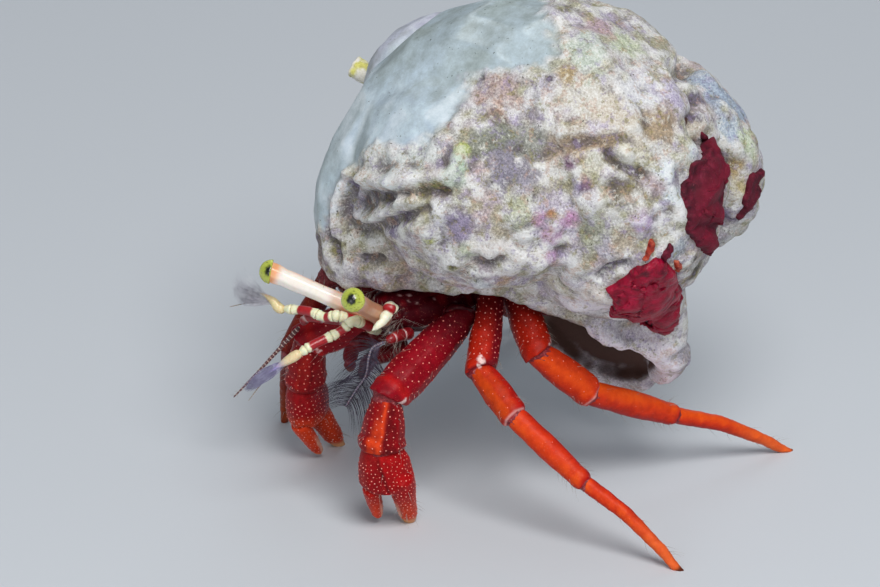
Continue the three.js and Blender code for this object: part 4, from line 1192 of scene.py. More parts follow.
# %% Place the armour
def segments(limb):
    """The kind of a limb, and the meshes of all limbs of that kind."""
    kind = limb.split("_")[0]
    return kind, claws if kind == "cheliped" else legs


for limb in LIMBS:
    kind, source = segments(limb)
    lower, last_slot = ("propodus", "dactyl"), "lower_leg"
    if kind == "cheliped":
        lower, last_slot = ("palm", "finger"), "claw"
    for half, parts, slot in (("upper", LEG_PARTS[:3], "upper_limb"), ("lower", lower, last_slot)):
        mesh = joined([source[limb, part] for part in parts])
        place(f"{limb}_{half}_armour", mesh, slot, [f"{limb}_{part}" for part in parts], [armour_finish])

# %% [markdown]
# ## Tubes
#
# Feelers, mouthparts, hinge skin and the small inner legs are all bent tubes. A tube starts
# as a flat grid that is rolled up round a smooth line and welded along its seam and at both
# ends. It keeps a number for how far each point is along it, so bands can follow the line.


# %% Rolled tubes
def smooth_line(places, steps):
    """A smooth line through places, in even steps."""
    p = np.array(places, float)
    p = np.concatenate([[2 * p[0] - p[1]], p, [2 * p[-1] - p[-2]]])
    t = np.linspace(0, 1, 24, endpoint=False)[:, None]
    curve = [0.5 * (2 * b + (c - a) * t + (2 * a - 5 * b + 4 * c - d) * t**2
                    + (3 * b - a - 3 * c + d) * t**3)
             for a, b, c, d in zip(p, p[1:], p[2:], p[3:])]
    curve = np.concatenate([*curve, p[-2:-1]])
    run = np.concatenate([[0], np.cumsum(np.linalg.norm(np.diff(curve, axis=0), axis=1))])
    return np.stack([np.interp(np.linspace(0, run[-1], steps), run, c) for c in curve.T], axis=1), run[-1]


def tube(places, radii, steps=48, around=14, shape=None):
    """A closed tube through places. radii are spread along it; shape may scale them."""
    line, length = smooth_line(places, 400)
    share = np.linspace(0, 1, steps + 1)
    end = min(max(radii) / length, 0.3)
    share = np.sort(np.concatenate([share, end * np.array((0.02, 0.1, 0.25, 0.5)),
                                    1 - end * np.array((0.02, 0.1, 0.25, 0.5))]))
    middle = np.stack([np.interp(share, np.linspace(0, 1, 400), c) for c in line.T], axis=1)
    ahead = np.gradient(middle, axis=0)
    ahead /= np.linalg.norm(ahead, axis=1, keepdims=True)
    side = np.cross(ahead, (0, 0, 1))
    side /= np.linalg.norm(side, axis=1, keepdims=True)
    up = np.cross(side, ahead)
    radius = np.interp(share, np.linspace(0, 1, len(radii)), radii)
    if shape:
        radius = radius * shape(share)
    for edge in (share, 1 - share):
        radius = radius * np.sqrt(np.clip(1 - (1 - np.clip(edge / end, 0, 1)) ** 2, 0, 1))
    rows = len(share)
    bm = bmesh.new()
    bmesh.ops.create_grid(bm, x_segments=around, y_segments=rows - 1, size=1)
    layer = bm.verts.layers.float.new("along")
    for vert in bm.verts:
        j = round((vert.co.y + 1) / 2 * (rows - 1))
        turn = math.tau * round((vert.co.x + 1) / 2 * around) / around
        out = math.cos(turn) * side[j] + math.sin(turn) * up[j]
        vert.co = middle[j] + radius[j] * out
        vert[layer] = share[j]
    bmesh.ops.remove_doubles(bm, verts=bm.verts, dist=1e-5)
    bmesh.ops.recalc_face_normals(bm, faces=bm.faces)
    return to_mesh(bm)


def stored(mesh, name):
    """A number stored on every point, as an array."""
    values = np.empty(len(mesh.vertices), np.float32)
    mesh.attributes[name].data.foreach_get("value", values)
    return values.astype(float)


# %% [markdown]
# ## Hinge skin
#
# Between two stiff segments a crab has a ring of thin, wrinkled skin. It is a short tube from
# inside one segment to inside the next, dark because it lies in shade.

# %% Hinge skin
soft_skin = Finish("hinge_skin", Roughness=0.5, Subsurface_Weight=0.15, Subsurface_Scale=0.0004)
folds_noise = soft_skin.noise(0.12, detail=3)
soft_skin.relief(folds_noise, 0.05)
hinge_finish = soft_skin.colour(soft_skin.mix(0.8, "7c0f1a", soft_skin.scale(
    folds_noise, (0.35, "4a0610"), (0.55, "951822"), (0.75, "c98a86"))))
for limb, places in bends.items():
    sleeves = []
    for (a, _), (b, radius), (c, _) in zip(places, places[1:], places[2:]):
        reach = min(0.9, 0.3 * np.linalg.norm(a - b), 0.3 * np.linalg.norm(c - b))
        route = [b + (a - b) / np.linalg.norm(a - b) * reach, b,
                 b + (c - b) / np.linalg.norm(c - b) * reach]
        sleeves.append(tube(route, [0.6 * radius, 0.86 * radius, 0.6 * radius], steps=24,
                            shape=lambda share: 1 + 0.05 * np.sin(share * 60)))
    place(f"{limb}_hinge_skin", joined(sleeves), "body", finishes=[hinge_finish])

# %% [markdown]
# ## Body and abdomen
#
# Under the lip the body is deep crimson, with a hard shield in front and soft flesh behind.
# The abdomen is bare and fills the coil. Shield and trunk are one skin here, and so are the
# two lengths of the abdomen, because in life no seam divides them.

# %% Body skin
trunk = skin(solid("shield", "thorax"), 0.12, 3, bridge=0.25)
relax(trunk, 30)
points, facing = surface(trunk)
depth = (points[:, 1] - points[:, 1].min()) / np.ptp(points[:, 1])
move_to(trunk, points + facing * (0.06 * lumps(points, 0.6, 61) - 0.25 * bell(depth - 0.62, 0.02)
                                  - 0.12 * bell(np.abs(points[:, 0] - OUTSET[0]) - 1.2, 0.12)
                                  * ramp(depth, 0.6, 0.5))[:, None])
tint = paint(plain("45030f", points), ramp(lumps(points, 0.5, 62), 0.1, 0.7), "6b0814")
tint = paint(tint, 0.7 * ramp(lumps(points, 0.22, 63), 0.6, 0.8) * ramp(depth, 0.6, 0.2), "cfa8a4")
tint = paint(tint, 0.6 * ramp(depth, 0.62, 0.75), "6a2a24")
keep(trunk, "tint", tint)
place("trunk_skin", trunk, "body", ["shield", "thorax"], [armour_finish])

# %% Abdomen skin
belly = skin(solid("abdomen_front", "abdomen_rear"), 0.22, 3, bridge=0.25)
relax(belly, 30)
points, facing = surface(belly)
move_to(belly, points + facing * (0.10 * lumps(points, 1.2, 64) + 0.05 * lumps(points, 0.45, 65))[:, None])
flesh = Finish("bare_flesh", Roughness=0.45, Subsurface_Weight=0.3, Subsurface_Scale=0.001)
veins = flesh.noise(0.9, detail=4)
flesh.relief(flesh.noise(0.25), 0.08)
flesh_finish = flesh.colour(flesh.scale(veins, (0.35, "8a3b34"), (0.5, "b5695a"), (0.66, "cf9a86")))
place("abdomen_skin", belly, "abdomen", ["abdomen_front", "abdomen_rear"], [flesh_finish])

# %% Small inner legs and mouthparts
SMALL_PARTS = {
    "leg_4_L": (((1.5, 3.2, 10.0), (2.6, 3.7, 9.5), (3.3, 4.6, 9.6), (3.4, 5.6, 10.2)), (0.5, 0.42, 0.3)),
    "leg_4_R": (((-1.5, 3.3, 10.0), (-2.7, 4.0, 9.9), (-3.3, 4.9, 10.0), (-3.3, 5.8, 10.4)),
                (0.5, 0.42, 0.3)),
    "leg_5_L": (((1.1, 4.4, 10.0), (1.9, 5.3, 9.7), (2.3, 6.2, 10.1)), (0.4, 0.34, 0.27)),
    "leg_5_R": (((-1.1, 4.4, 10.0), (-1.8, 5.4, 9.7), (-2.0, 6.4, 10.0)), (0.4, 0.34, 0.27)),
    "maxilliped_L": (((0.75, -3.4, 8.9), (0.95, -4.6, 8.5), (0.85, -5.6, 8.3), (0.6, -5.9, 7.3)),
                     (0.5, 0.48, 0.4, 0.28)),
    "maxilliped_R": (((-0.75, -3.4, 8.9), (-0.95, -4.6, 8.5), (-0.85, -5.5, 8.2), (-0.6, -5.8, 7.2)),
                     (0.5, 0.48, 0.4, 0.28)),
}


def jointed(share, joints, depth=0.22, width=0.03):
    """Scales a tube's radius down to a waist at each joint."""
    return 1 - sum(depth * bell(share - j, width) for j in joints)


for name, (places, radii) in SMALL_PARTS.items():
    mesh = tube(set_out(*places), radii, steps=60,
                shape=lambda share: jointed(share, (0.32, 0.62, 0.85)) * (1 + 0.08 * np.sin(share * 9)))
    points, share = numbers(mesh), stored(mesh, "along")
    tint = plain("5c0612", points)
    tint = paint(tint, 0.35 * sum(bell(share - j, 0.02) for j in (0.32, 0.62, 0.85)), "a05058")
    tint = paint(tint, 0.4 * ramp(share, 0.9, 1.0), "a87868")
    keep(mesh, "tint", tint)
    place(f"{name}_skin", mesh, "body", [name], [armour_finish])

# %% [markdown]
# ## Eyes
#
# Long white stalks carry the eyes, with a warm band at both ends and a thin line along the
# top. Each eye is a glossy yellow-green cap of many tiny lenses. The dark spot is where the
# lenses look straight at whoever is watching, so it is set towards the front left.

# %% Eyestalks
stalk_bone = Finish("eyestalk", Roughness=0.35, Subsurface_Weight=0.35, Subsurface_Scale=0.0006,
                    Coat_Weight=0.3, Coat_Roughness=0.15)
pearl = stalk_bone.noise(0.25, detail=3)
stalk_bone.relief(pearl, 0.01)
stalk_finish = stalk_bone.colour(stalk_bone.mix(
    0.12, stalk_bone.stored("tint", colour=True), stalk_bone.scale(pearl, (0.3, "b8a89a"), (0.7, "ffffff"))))
STRETCH = {"L": 0.0, "R": 0.055}  # the right stalk is a little longer than its solid
eyes = {}
for side in SIDES:
    eye_low, eye_high = (np.array(corner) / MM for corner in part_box(f"eye_{side}"))
    centre = (eye_low + eye_high) / 2
    root = far_end(f"eyestalk_{side}", centre)
    eyes[side] = (root, centre)
    mesh = skin(solid(f"eyestalk_{side}"), 0.06, 2)
    relax(mesh, 20)
    points, facing = surface(mesh)
    share, out = along(points, root, centre)
    points += facing * (0.03 * bell(share - 0.9, 0.04) - 0.02 * bell(share - 0.82, 0.04))[:, None]
    move_to(mesh, points + np.maximum(share, 0)[:, None] * STRETCH[side] * (centre - root))
    tint = plain("f3ece2", points)
    wave = 0.04 * lumps(points, 0.4, 71)
    warm = 0.42 if side == "R" else 0.95  # the left one is browned almost to its tip
    tint = paint(tint, 0.95 * ramp(share + wave, warm, warm - 0.2), "c47c46")
    tint = paint(tint, 0.9 * ramp(share + 0.5 * wave, 0.84, 0.92), "e88f38")
    top = bell(out[:, 2] / np.maximum(np.linalg.norm(out, axis=1), 0.05) - 1, 0.10)
    tint = paint(tint, 0.8 * top, "e08d48")
    keep(mesh, "tint", tint)
    place(f"eyestalk_{side}_skin", mesh, "eyestalk", [f"eyestalk_{side}"], [stalk_finish])

# %% Corneas
glass = Finish("cornea", Roughness=0.18, Coat_Weight=0.35, Coat_Roughness=0.06)
lens_cells = glass.cells(0.05)
glassy = glass.mix(0.25, glass.stored("tint", colour=True),
                   glass.scale(lens_cells, (0.0, "f0f2a0"), (0.6, "8d9a30")), "OVERLAY")
glass.relief(lens_cells, 0.004)
cornea_finish = glass.colour(glassy)
SPOT_WAY = TOWARD + np.array((-0.10, -0.12, 0.10))
for side, (root, centre) in eyes.items():
    mesh = skin(solid(f"eye_{side}"), 0.045, 2)
    relax(mesh, 20)
    points, facing = surface(mesh)
    ahead = (centre - root) / np.linalg.norm(centre - root)
    points = centre + (points - centre) * 1.14 - 0.20 * ahead  # bulges, and sits in its stalk
    points += STRETCH[side] * (centre - root)
    move_to(mesh, points)
    spot_axis = SPOT_WAY / np.linalg.norm(SPOT_WAY)
    from_spot = facing - spot_axis
    tall = from_spot[:, 2]
    wide = np.sqrt(np.maximum((from_spot**2).sum(1) - tall**2, 0))
    tint = plain("c3c95a", points)
    tint = paint(tint, 0.7 * ramp((points - centre) @ ahead, -0.15, -0.45), "e6e4a4")
    tint = paint(tint, 0.7 * ramp((wide**2 + tall**2) ** 0.5, 0.95, 0.45), "95a03a")
    tint = paint(tint, 0.6 * ramp(lumps(points, 0.08, 72), 0.45, 0.65), "4a521c")
    spot = np.hypot(wide / 0.36, tall / 0.54) + 0.10 * lumps(points, 0.08, 73)
    tint = paint(tint, ramp(spot, 1.25, 0.75), "08090a")
    keep(mesh, "tint", tint)
    place(f"cornea_{side}", mesh, "cornea", [f"eye_{side}"], [cornea_finish])

# %% [markdown]
# ## Feelers
#
# The short pair is banded like a barber's pole, in crimson and greenish cream, and ends in a
# brush of scent hairs. The long pair is a dark red stem and a thin whip of tiny rings. Each
# of these follows the same points as its solid, only thinner where life is thinner.

# %% Banded stems
ROUTES = {
    "antennule_base_L": ((0.5, -4.75, 9.55), (0.75, -5.8, 10.3), (0.9, -6.65, 10.75), (0.75, -7.3, 10.3),
                         (0.4, -8.7, 9.8), (0.2, -9.4, 9.42)),
    "antennule_brush_L": ((0.23, -9.27, 9.51), (0.13, -9.54, 9.35), (-0.13, -9.96, 9.03),
                          (-0.4, -10.44, 8.67), (-0.74, -10.94, 8.18), (-1.2, -11.5, 7.3)),
    "antennule_base_R": ((-0.45, -4.75, 9.5), (-0.75, -5.5, 9.95), (-1.1, -6.25, 10.2), (-1.7, -6.55, 10.0),
                         (-2.6, -6.95, 10.1), (-3.8, -7.6, 9.95)),
    "antennule_brush_R": ((-3.73, -7.53, 9.94), (-4.01, -7.73, 9.95), (-4.34, -7.93, 10.31),
                          (-4.8, -8.22, 10.55), (-5.38, -8.61, 10.6), (-6.1, -9.3, 10.65)),
    "acicle_L": ((1.53, -4.59, 10.95), (1.62, -4.84, 11.35), (2.04, -5.32, 11.2), (2.23, -5.88, 10.93),
                 (2.18, -6.39, 10.61)),
    "acicle_R": ((-1.4, -4.0, 9.95), (-1.95, -4.85, 9.95), (-1.85, -5.65, 9.55)),
    "antenna_base_L": ((1.55, -3.5, 9.55), (1.75, -4.4, 9.7), (1.9, -5.3, 9.7)),
    "antenna_whip_L": ((1.91, -5.41, 9.68), (1.72, -6.0, 9.45), (1.73, -6.26, 8.93), (1.7, -6.42, 8.03),
                       (1.36, -6.8, 7.18), (1.11, -7.26, 6.3)),
    "antenna_base_R": ((-1.55, -4.1, 9.2), (-2.7, -5.4, 9.25), (-3.8, -6.05, 9.1), (-4.0, -6.4, 8.7)),
    "antenna_whip_R": ((-4.03, -6.5, 8.58), (-4.35, -7.2, 7.75), (-4.85, -8.35, 6.4), (-5.4, -9.6, 5.0)),
}
CREAM, BLOOD = "e3e2bd", "a00f18"
BANDS = {  # crimson stretches and joints along each banded stem
    "antennule_base_L": (((0.17, 0.30), (0.52, 0.60), (0.72, 0.88)), (0.13, 0.36, 0.48, 0.66, 0.92)),
    "antennule_base_R": (((0.15, 0.27), (0.43, 0.50), (0.66, 0.82)), (0.12, 0.34, 0.40, 0.60, 0.90)),
}
horn = Finish("feeler_horn", Roughness=0.4, Subsurface_Weight=0.2, Subsurface_Scale=0.0004, Coat_Weight=0.2)
cloud = horn.noise(0.15, detail=3)
horn.relief(cloud, 0.015)
horn_finish = horn.colour(horn.mix(0.35, horn.stored("tint", colour=True),
                                   horn.scale(cloud, (0.35, "8c8c8c"), (0.65, "e0e0e0")), "OVERLAY"))
for name, (stretches, joints) in BANDS.items():
    mesh = tube(set_out(*ROUTES[name]), (0.3, 0.3, 0.27, 0.27, 0.25), steps=150, around=18,
                shape=lambda share: (0.86 + 0.22 * sum(bell(share - j, 0.035) for j in joints))
                * jointed(share, joints, 0.30, 0.008))
    points, share = numbers(mesh), stored(mesh, "along")
    edge = share + 0.008 * lumps(points, 0.12, 81)
    tint = plain(CREAM, points)
    for low, high in stretches:
        within = ramp(edge, low - 0.008, low + 0.008) * ramp(edge, high + 0.008, high - 0.008)
        tint = paint(tint, within, BLOOD)
    tint = paint(tint, 0.45 * sum(bell(share - j, 0.005) for j in joints), "6d5a40")
    keep(mesh, "tint", tint)
    place(f"{name}_banded", mesh, "antennule", [name], [horn_finish])

# %% Scales and stems of the long feelers
for side, reds in (("L", (0.30, 0.46)), ("R", (0.3, 0.5))):
    name = f"acicle_{side}"
    mesh = tube(set_out(*ROUTES[name]), (0.3, 0.3, 0.26, 0.05), steps=60, around=16,
                shape=lambda share: 1 + 0.12 * np.sin(share * 25))
    points, share = numbers(mesh), stored(mesh, "along")
    move_to(mesh, points + numbers(mesh, "normal") * 0.05 * lumps(points, 0.25, 82)[:, None])
    tint = plain("e8e6cc", points)
    edge = share + 0.05 * lumps(points, 0.3, 83)
    within = ramp(edge, reds[0] - 0.02, reds[0] + 0.02) * ramp(edge, reds[1] + 0.02, reds[1] - 0.02)
    tint = paint(tint, within, BLOOD)
    keep(mesh, "tint", tint)
    place(f"{name}_spine", mesh, "acicle", [name], [horn_finish])

    name = f"antenna_base_{side}"
    joints = (0.35, 0.6, 0.9) if side == "R" else (0.4, 0.75)
    mesh = tube(set_out(*ROUTES[name]), (0.34, 0.32, 0.29, 0.25), steps=80, around=16,
                shape=lambda share: jointed(share, joints, 0.25, 0.015))
    points, share = numbers(mesh), stored(mesh, "along")
    tint = paint(plain("7f0d16", points), 0.5 * ramp(lumps(points, 0.3, 84), 0, 0.6), "b01a1e")
    tint = paint(tint, sum(0.85 * bell(share - j, 0.02) for j in joints), "dcc4c0")
    keep(mesh, "tint", tint)
    place(f"{name}_stem", mesh, "antenna", [name], [horn_finish])

    name = f"antenna_whip_{side}"
    rings = 46
    radii, stem_tone = (0.08, 0.06, 0.05, 0.03), "5c5566"
    if side == "R":
        radii, stem_tone = (0.12, 0.10, 0.07, 0.035), "4a1016"
    mesh = tube(set_out(*ROUTES[name]), radii, steps=rings * 5, around=8,
                shape=lambda share: 1 + 0.16 * np.cos(share * math.tau * rings))
    points, share = numbers(mesh), stored(mesh, "along")
    ring = np.cos(share * math.tau * rings / 2)
    tint = plain(stem_tone, points)
    tint = paint(tint, (0.8 if side == "R" else 0.3) * ramp(ring, 0.72, 0.95), "d9c8bd")
    keep(mesh, "tint", tint)
    place(f"{name}_ringed", mesh, "antenna", [name], [horn_finish])

# %% [markdown]
# ## Warts and hairs
#
# What makes this animal look alive is smaller than a pinhead: pale warts in rows over the
# claws, and hairs as thin as dust. A wart or a hair is one small template with a few dozen
# faces. It is copied to hundreds of roots in one mesh, each copy turned to stand on the skin.
# Each copy also gets its own small patch on the OFBake map, at its root's place on the skin
# unrolled, so that its colour can be stored there.


# %% Copies of a template
def wart_template():
    """A low dome of a few dozen faces."""
    bm = bmesh.new()
    bmesh.ops.create_uvsphere(bm, u_segments=8, v_segments=5, radius=1)
    return to_mesh(bm)


def hair_template(joints=4):
    """A thin cone with rings along it, so that it can bend."""
    bm = bmesh.new()
    bmesh.ops.create_cone(bm, cap_ends=True, cap_tris=True, segments=3, radius1=1, radius2=0.12, depth=1)
    bmesh.ops.translate(bm, vec=(0, 0, 0.5), verts=bm.verts)
    for k in range(1, joints + 1):
        bmesh.ops.bisect_plane(bm, geom=bm.verts[:] + bm.edges[:] + bm.faces[:],
                               plane_co=(0, 0, k / (joints + 1)), plane_no=(0, 0, 1))
    return to_mesh(bm)


def unit(vectors):
    """The same directions, each of length 1."""
    return vectors / np.maximum(np.linalg.norm(vectors, axis=-1, keepdims=True), 1e-9)


def copies(template, roots, ups, widths, lengths, marks, bends=None, seed=1):
    """One mesh holding the template at every root, turned up, and bent more towards its tip."""
    rng = np.random.default_rng(seed)
    count, ups = len(roots), unit(ups)
    side = unit(np.cross(ups, unit(rng.normal(size=(count, 3)))))
    other = np.cross(ups, side)
    shape = numbers(template)
    widths, lengths = (np.broadcast_to(v, count)[:, None, None] for v in (widths, lengths))
    placed = (roots[:, None] + side[:, None] * shape[None, :, :1] * widths
              + other[:, None] * shape[None, :, 1:2] * widths + ups[:, None] * shape[None, :, 2:] * lengths)
    if bends is not None:
        placed += bends[:, None] * np.maximum(shape[None, :, 2:], 0) ** 2 * lengths
    faces = [tuple(p.vertices) for p in template.polygons]
    size = len(shape)
    mesh = bpy.data.meshes.new("copies")
    mesh.from_pydata(placed.reshape(-1, 3), [],
                     [tuple(v + i * size for v in f) for i in range(count) for f in faces])
    corners = np.empty(len(mesh.loops), np.int32)
    mesh.loops.foreach_get("vertex_index", corners)
    patch = np.stack([np.arctan2(shape[:, 1], shape[:, 0]) / math.tau, shape[:, 2] - 0.5], axis=1)
    uv = marks[corners // size] + 0.003 * patch[corners % size]
    mesh.uv_layers.new(name="OFBake").data.foreach_set("uv", uv.astype(np.float32).ravel())
    keep(mesh, "rise", np.tile(shape[:, 2], count))
    return mesh


def spread(points, spacing, allowed, seed):
    """Numbers of points about this far apart, from those that are allowed."""
    order = np.random.default_rng(seed).permutation(np.nonzero(allowed)[0])
    free, chosen = np.ones(len(points), bool), []
    for i in order:
        if free[i]:
            chosen.append(i)
            free &= ((points - points[i]) ** 2).sum(1) > spacing**2
    return np.array(chosen, int)


def unrolled(points, start, end, strip, strips):
    """Where points fall on the skin unrolled round a line, in one of several strips."""
    share, out = along(points, start, end)
    round_it = np.arctan2(out @ np.array((0.3, 0.2, 0.93)), out @ np.array((0.8, -0.6, 0.05)))
    return np.stack([0.02 + 0.96 * (round_it / math.tau + 0.5),
                     (strip + 0.05 + 0.9 * np.clip(share, 0, 1)) / strips], axis=1)


# %% Warts
WARTS = {  # spacing and size of the warts on each kind of segment
    "cheliped": {"merus": (0.33, 0.036), "carpus": (0.27, 0.038), "palm": (0.19, 0.034),
                 "finger": (0.19, 0.030)},
    "leg": {"merus": (0.26, 0.036), "carpus": (0.55, 0.032), "propodus": (1.3, 0.025)},
}
wart_glaze = Finish("pale_warts", Roughness=0.3, Coat_Weight=0.3, Coat_Roughness=0.15)
wart_glow = wart_glaze.noise(0.4, detail=2)
wart_colour = wart_glaze.mix(wart_glaze.between(wart_glaze.stored("rise"), -0.1, 0.75), "c8281c",
                             wart_glaze.scale(wart_glow, (0.35, "dc7462"), (0.6, "f2a898")))
wart_finish = wart_glaze.colour(wart_colour)
dome = wart_template()
for limb in LIMBS:
    kind, source = segments(limb)
    parts = [part for part in (*LIMBS[limb], "finger") if part in WARTS[kind] and (limb, part) in source]
    roots, ups, sizes, marks = [], [], [], []
    for strip, part in enumerate(parts):
        gap, size = WARTS[kind][part]
        mesh = source[limb, part]
        k = min(LIMBS[limb].index(part) if part in LIMBS[limb] else 3, len(LIMBS[limb]) - 1)
        start, end = bends[limb][k][0], bends[limb][k + 1][0]
        points, facing = surface(mesh)
        share, out = along(points, start, end)
        allowed = (share > 0.08) & (share < (0.90 if part == "merus" else 0.97))
        allowed &= np.linalg.norm(out, axis=1) > 0.25
        if part in ("palm", "finger"):
            allowed = (share > 0.06) & (points[:, 2] > 0.45)
        if kind == "leg":
            allowed &= facing @ FRONT > -0.6
        chosen = spread(points, gap, allowed, 101 + strip)
        rng = np.random.default_rng(strip)
        roots.append(points[chosen])
        ups.append(facing[chosen])
        sizes.append(size * rng.uniform(0.7, 1.25, len(chosen)))
        marks.append(unrolled(points[chosen], start, end, strip, len(parts)))
    roots, ups, sizes, marks = (np.concatenate(v) for v in (roots, ups, sizes, marks))
    mesh = copies(dome, roots, ups, sizes, sizes * 0.8, marks)
    place(f"{limb}_warts", mesh, "claw" if kind == "cheliped" else "upper_limb", finishes=[wart_finish])

# %% Hair finish
gossamer = Finish("fine_hair", Roughness=0.4, Alpha=0.75)
hair_glow = gossamer.noise(0.5, detail=2)
hair_finish = gossamer.colour(gossamer.scale(hair_glow, (0.35, "8d8078"), (0.65, "cdc2b8")))
smoke = Finish("smoky_hair", Roughness=0.45, Alpha=0.85)
smoke_glow = smoke.noise(0.6, detail=3)
smoke_finish = smoke.colour(smoke.scale(smoke_glow, (0.35, "241d2a"), (0.55, "40374a"), (0.75, "6f6478")))
strand = hair_template()

# %% [markdown]
# Hairs stand in thin tufts at the rims of the leg segments, along the tops of the eyestalks
# and round the mouth. They lean towards the limb's tip.

# %% Hairs on limbs, eyestalks and mouth
for limb in LIMBS:
    kind, source = segments(limb)
    parts = ("merus", "carpus", "palm") if kind == "cheliped" else ("merus", "carpus", "propodus", "dactyl")
    roots, ups, leans, marks = [], [], [], []
    for strip, part in enumerate(parts):
        k = LIMBS[limb].index(part)
        start, end = bends[limb][k][0], bends[limb][k + 1][0]
        mesh = source[limb, part]
        points, facing = surface(mesh)
        share, out = along(points, start, end)
        side_on = (np.abs(facing @ np.array((0.75, -0.52, 0.41))) < 0.65) & (points[:, 2] > 0.7)
        at_rim = (share > 0.80) & (share < 0.95)
        sparse = spread(points, 1.1, (share > 0.1) & (share < 0.98) & side_on, 111 + strip)
        tufts = spread(points, 0.30, at_rim & side_on, 121 + strip)
        chosen = np.concatenate([sparse, tufts[:14]])
        roots.append(points[chosen])
        ups.append(facing[chosen] + 0.8 * unit(end - start))
        leans.append(np.tile(0.5 * unit(end - start), (len(chosen), 1)))
        marks.append(unrolled(points[chosen], start, end, strip, len(parts)))
    roots, ups, leans, marks = (np.concatenate(v) for v in (roots, ups, leans, marks))
    rng = np.random.default_rng(7)
    mesh = copies(strand, roots, ups + rng.normal(0, 0.25, ups.shape), 0.011,
                  rng.uniform(0.25, 0.6, len(roots)), marks, leans)
    place(f"{limb}_hairs", mesh, "setae", finishes=[hair_finish])

roots, ups, marks, lengths = [], [], [], []
rng = np.random.default_rng(9)
for strip, (side, (root, centre)) in enumerate(eyes.items()):
    ahead = unit(centre - root)
    top = unit(np.cross(np.cross(ahead, (0, 0, 1)), ahead))
    shares = rng.uniform(0.1, 0.75, 14)
    swing = np.cross(ahead, top)[None] * rng.normal(0, 0.35, 14)[:, None]
    outwards = unit(top + swing)
    on_skin = root + shares[:, None] * (centre - root) + outwards * 0.45
    roots.append(on_skin)
    ups.append(outwards + 0.3 * ahead)
    marks.append(unrolled(on_skin, root, centre, strip, 2))
    lengths.append(rng.uniform(0.2, 0.55, 14))
roots, ups, marks, lengths = (np.concatenate(v) for v in (roots, ups, marks, lengths))
mesh = copies(strand, roots, ups, 0.010, lengths, marks)
place("eyestalk_hairs", mesh, "setae", finishes=[hair_finish])

# %% Mouth hairs
roots, ups, marks = [], [], []
MOUTH_LINES = [((0.75, -3.4, 8.9), (0.85, -5.6, 8.3)), ((1.55, -3.5, 9.55), (1.9, -5.3, 9.7)),
               ((1.4, -3.95, 10.45), (2.35, -5.55, 10.85)), ((2.2, -2.2, 9.6), (2.6, -3.4, 9.4))]
for strip, line in enumerate(MOUTH_LINES):
    start, end = set_out(*line)
    count = 46
    shares = rng.uniform(0, 1, count)
    outwards = unit(rng.normal(size=(count, 3)) + np.array((0.6, -0.6, 0.1)))
    spots = start + shares[:, None] * (end - start) + outwards * 0.28
    roots.append(spots)
    ups.append(outwards + np.array((0.25, -0.7, 0.0)))
    marks.append(unrolled(spots, start, end, strip, len(MOUTH_LINES)))
roots, ups, marks = (np.concatenate(v) for v in (roots, ups, marks))
mesh = copies(strand, roots, ups, 0.011, rng.uniform(0.4, 1.1, len(roots)), marks,
              rng.normal(0, 0.25, roots.shape) + (0, 0, -0.2))
place("mouth_hairs", mesh, "setae", finishes=[hair_finish])

# %% [markdown]
# ## Scent brushes and the feathered whip
#
# The short feelers end in a brush: a warm-coloured stem, a sheaf of scent hairs that bow
# apart like a leaf, and a thin whip below. The left long feeler is feathered on both sides
# with smoky barbs.


# %% Line with its own directions
def line_frame(places, shares):
    """Points along a line at these shares, with the way ahead at each."""
    line, length = smooth_line(places, 300)
    ahead = np.gradient(line, axis=0)
    grid = np.linspace(0, 1, 300)

    def pick(values):
        return np.stack([np.interp(shares, grid, c) for c in values.T], axis=1)

    return pick(line), unit(pick(ahead)), length


scent = Finish("scent_hair", Roughness=0.4, Alpha=0.85)
scent_finish = scent.colour(scent.scale(scent.noise(0.5, detail=2), (0.35, "aeacb8"), (0.65, "e2e1e8")))
lilac = Finish("lilac_hair", Roughness=0.4, Alpha=0.8)
lilac_finish = lilac.colour(lilac.scale(lilac.noise(0.5, detail=2), (0.35, "837da4"), (0.65, "b6b2d0")))
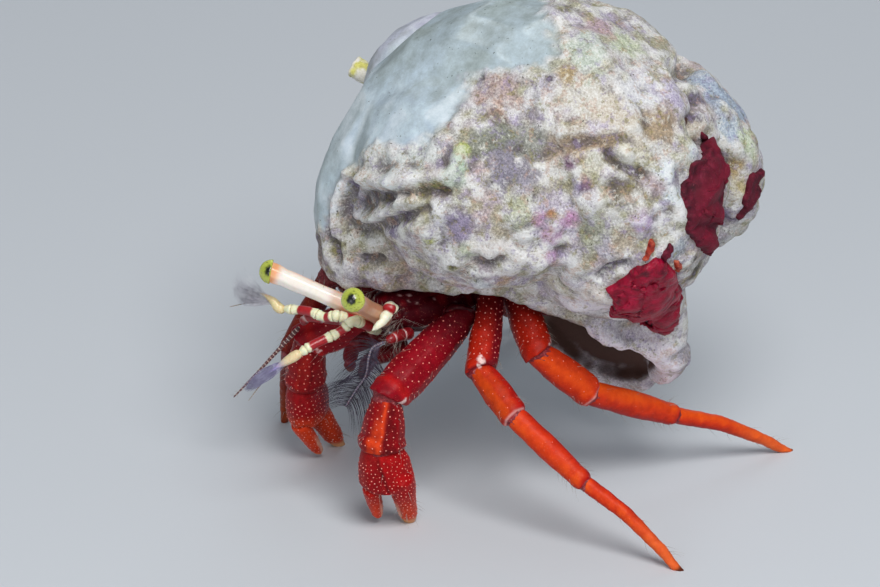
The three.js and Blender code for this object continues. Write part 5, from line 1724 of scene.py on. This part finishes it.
# Each brush is its stem's share, its sheaf's spread and fan, its whip's drop, the sheaf's
# finish and the stem's two tones.
BRUSHES = {
    "antennule_brush_R": (0.30, 2.0, (-1.0, 0.05), 1.0, scent_finish, ("dcc794", "cdb88e")),
    "antennule_brush_L": (0.36, 0.45, (-1.0, 1.0), 0.4, lilac_finish, ("dcc69a", "8f86b4")),
}
for name, (stem, wide, fans, drop, sheaf_finish, tones) in BRUSHES.items():
    places = set_out(*ROUTES[name])
    spots, ahead, length = line_frame(places, np.linspace(0, 1, 24))
    cut = int(24 * (stem + 0.25))
    core = tube(spots[:cut], (0.24, 0.27, 0.20, 0.10, 0.05), steps=60, around=14)
    share = stored(core, "along")
    tint = paint(plain(tones[0], share), ramp(share, 0.35, 0.8), tones[1])
    keep(core, "tint", tint)
    whip = tube(np.concatenate([spots[4:5], spots[4:] + np.linspace(0, 1, 20)[:, None] * (0, 0, -drop)]),
                (0.06, 0.05, 0.03, 0.015), steps=90, around=8,
                shape=lambda share: 1 + 0.2 * np.cos(share * math.tau * 22))
    share = stored(whip, "along")
    keep(whip, "tint", plain("8a7a66", share))
    place(f"{name}_stem", joined([core, whip]), "antennule", [name], [horn_finish])

    count = 260
    rng = np.random.default_rng(13)
    shares = rng.uniform(stem - 0.08, stem + 0.30, count)
    spots, ahead, _ = line_frame(places, shares)
    plane = unit(np.cross(ahead, TOWARD))
    plane *= np.sign(plane @ np.array((0, 0, 1)))[:, None]
    fan = rng.uniform(*fans, count)[:, None]
    thick = rng.normal(0, 0.10, count)[:, None] * TOWARD
    ups = ahead + plane * fan * wide + thick
    slant = np.linalg.norm(ups, axis=1)
    curl = -(plane * fan * wide + thick * 0.5) / slant[:, None]  # the tips meet again, as in a leaf
    lengths = length * (1 - shares) * rng.uniform(0.75, 1.0, count) * slant
    marks = unrolled(spots, places[0], places[-1], 0, 1)
    mesh = copies(strand, spots + plane * fan * 0.10, ups, 0.013, lengths, marks, curl)
    place(f"{name}_sheaf", mesh, "setae", finishes=[sheaf_finish])

# %% Barbs of the feathered whip, hairs of the other
places = set_out(*ROUTES["antenna_whip_L"])
count = 125
shares = np.repeat(np.linspace(0.06, 0.98, count), 2)
spots, ahead, _ = line_frame(places, shares)
sign = np.tile((-1.0, 1.0), count)[:, None]
outwards = unit(np.cross(ahead, TOWARD)) * sign
rng = np.random.default_rng(17)
ups = outwards + 0.35 * ahead + rng.normal(0, 0.06, outwards.shape)
leans = 0.55 * ahead - 0.1 * outwards + rng.normal(0, 0.06, outwards.shape) + (0, 0, -0.15)
lengths = 2.2 * np.sin(math.pi * np.clip(0.14 + 0.72 * shares, 0, 1)) * rng.uniform(0.85, 1.1, len(shares))
mesh = copies(strand, spots, ups, 0.017, lengths, unrolled(spots, places[0], places[-1], 0, 1), leans)
place("antenna_whip_L_barbs", mesh, "setae", finishes=[smoke_finish])

places = set_out(*ROUTES["antenna_whip_R"])
count = 80
shares = np.repeat(np.linspace(0.04, 0.97, count), 2)
spots, ahead, _ = line_frame(places, shares)
outwards = unit(np.cross(ahead, rng.normal(size=ahead.shape)))
mesh = copies(strand, spots, outwards + 0.8 * ahead, 0.008, rng.uniform(0.12, 0.3, len(shares)),
              unrolled(spots, places[0], places[-1], 0, 1))
place("antenna_whip_R_hairs", mesh, "setae", finishes=[hair_finish])
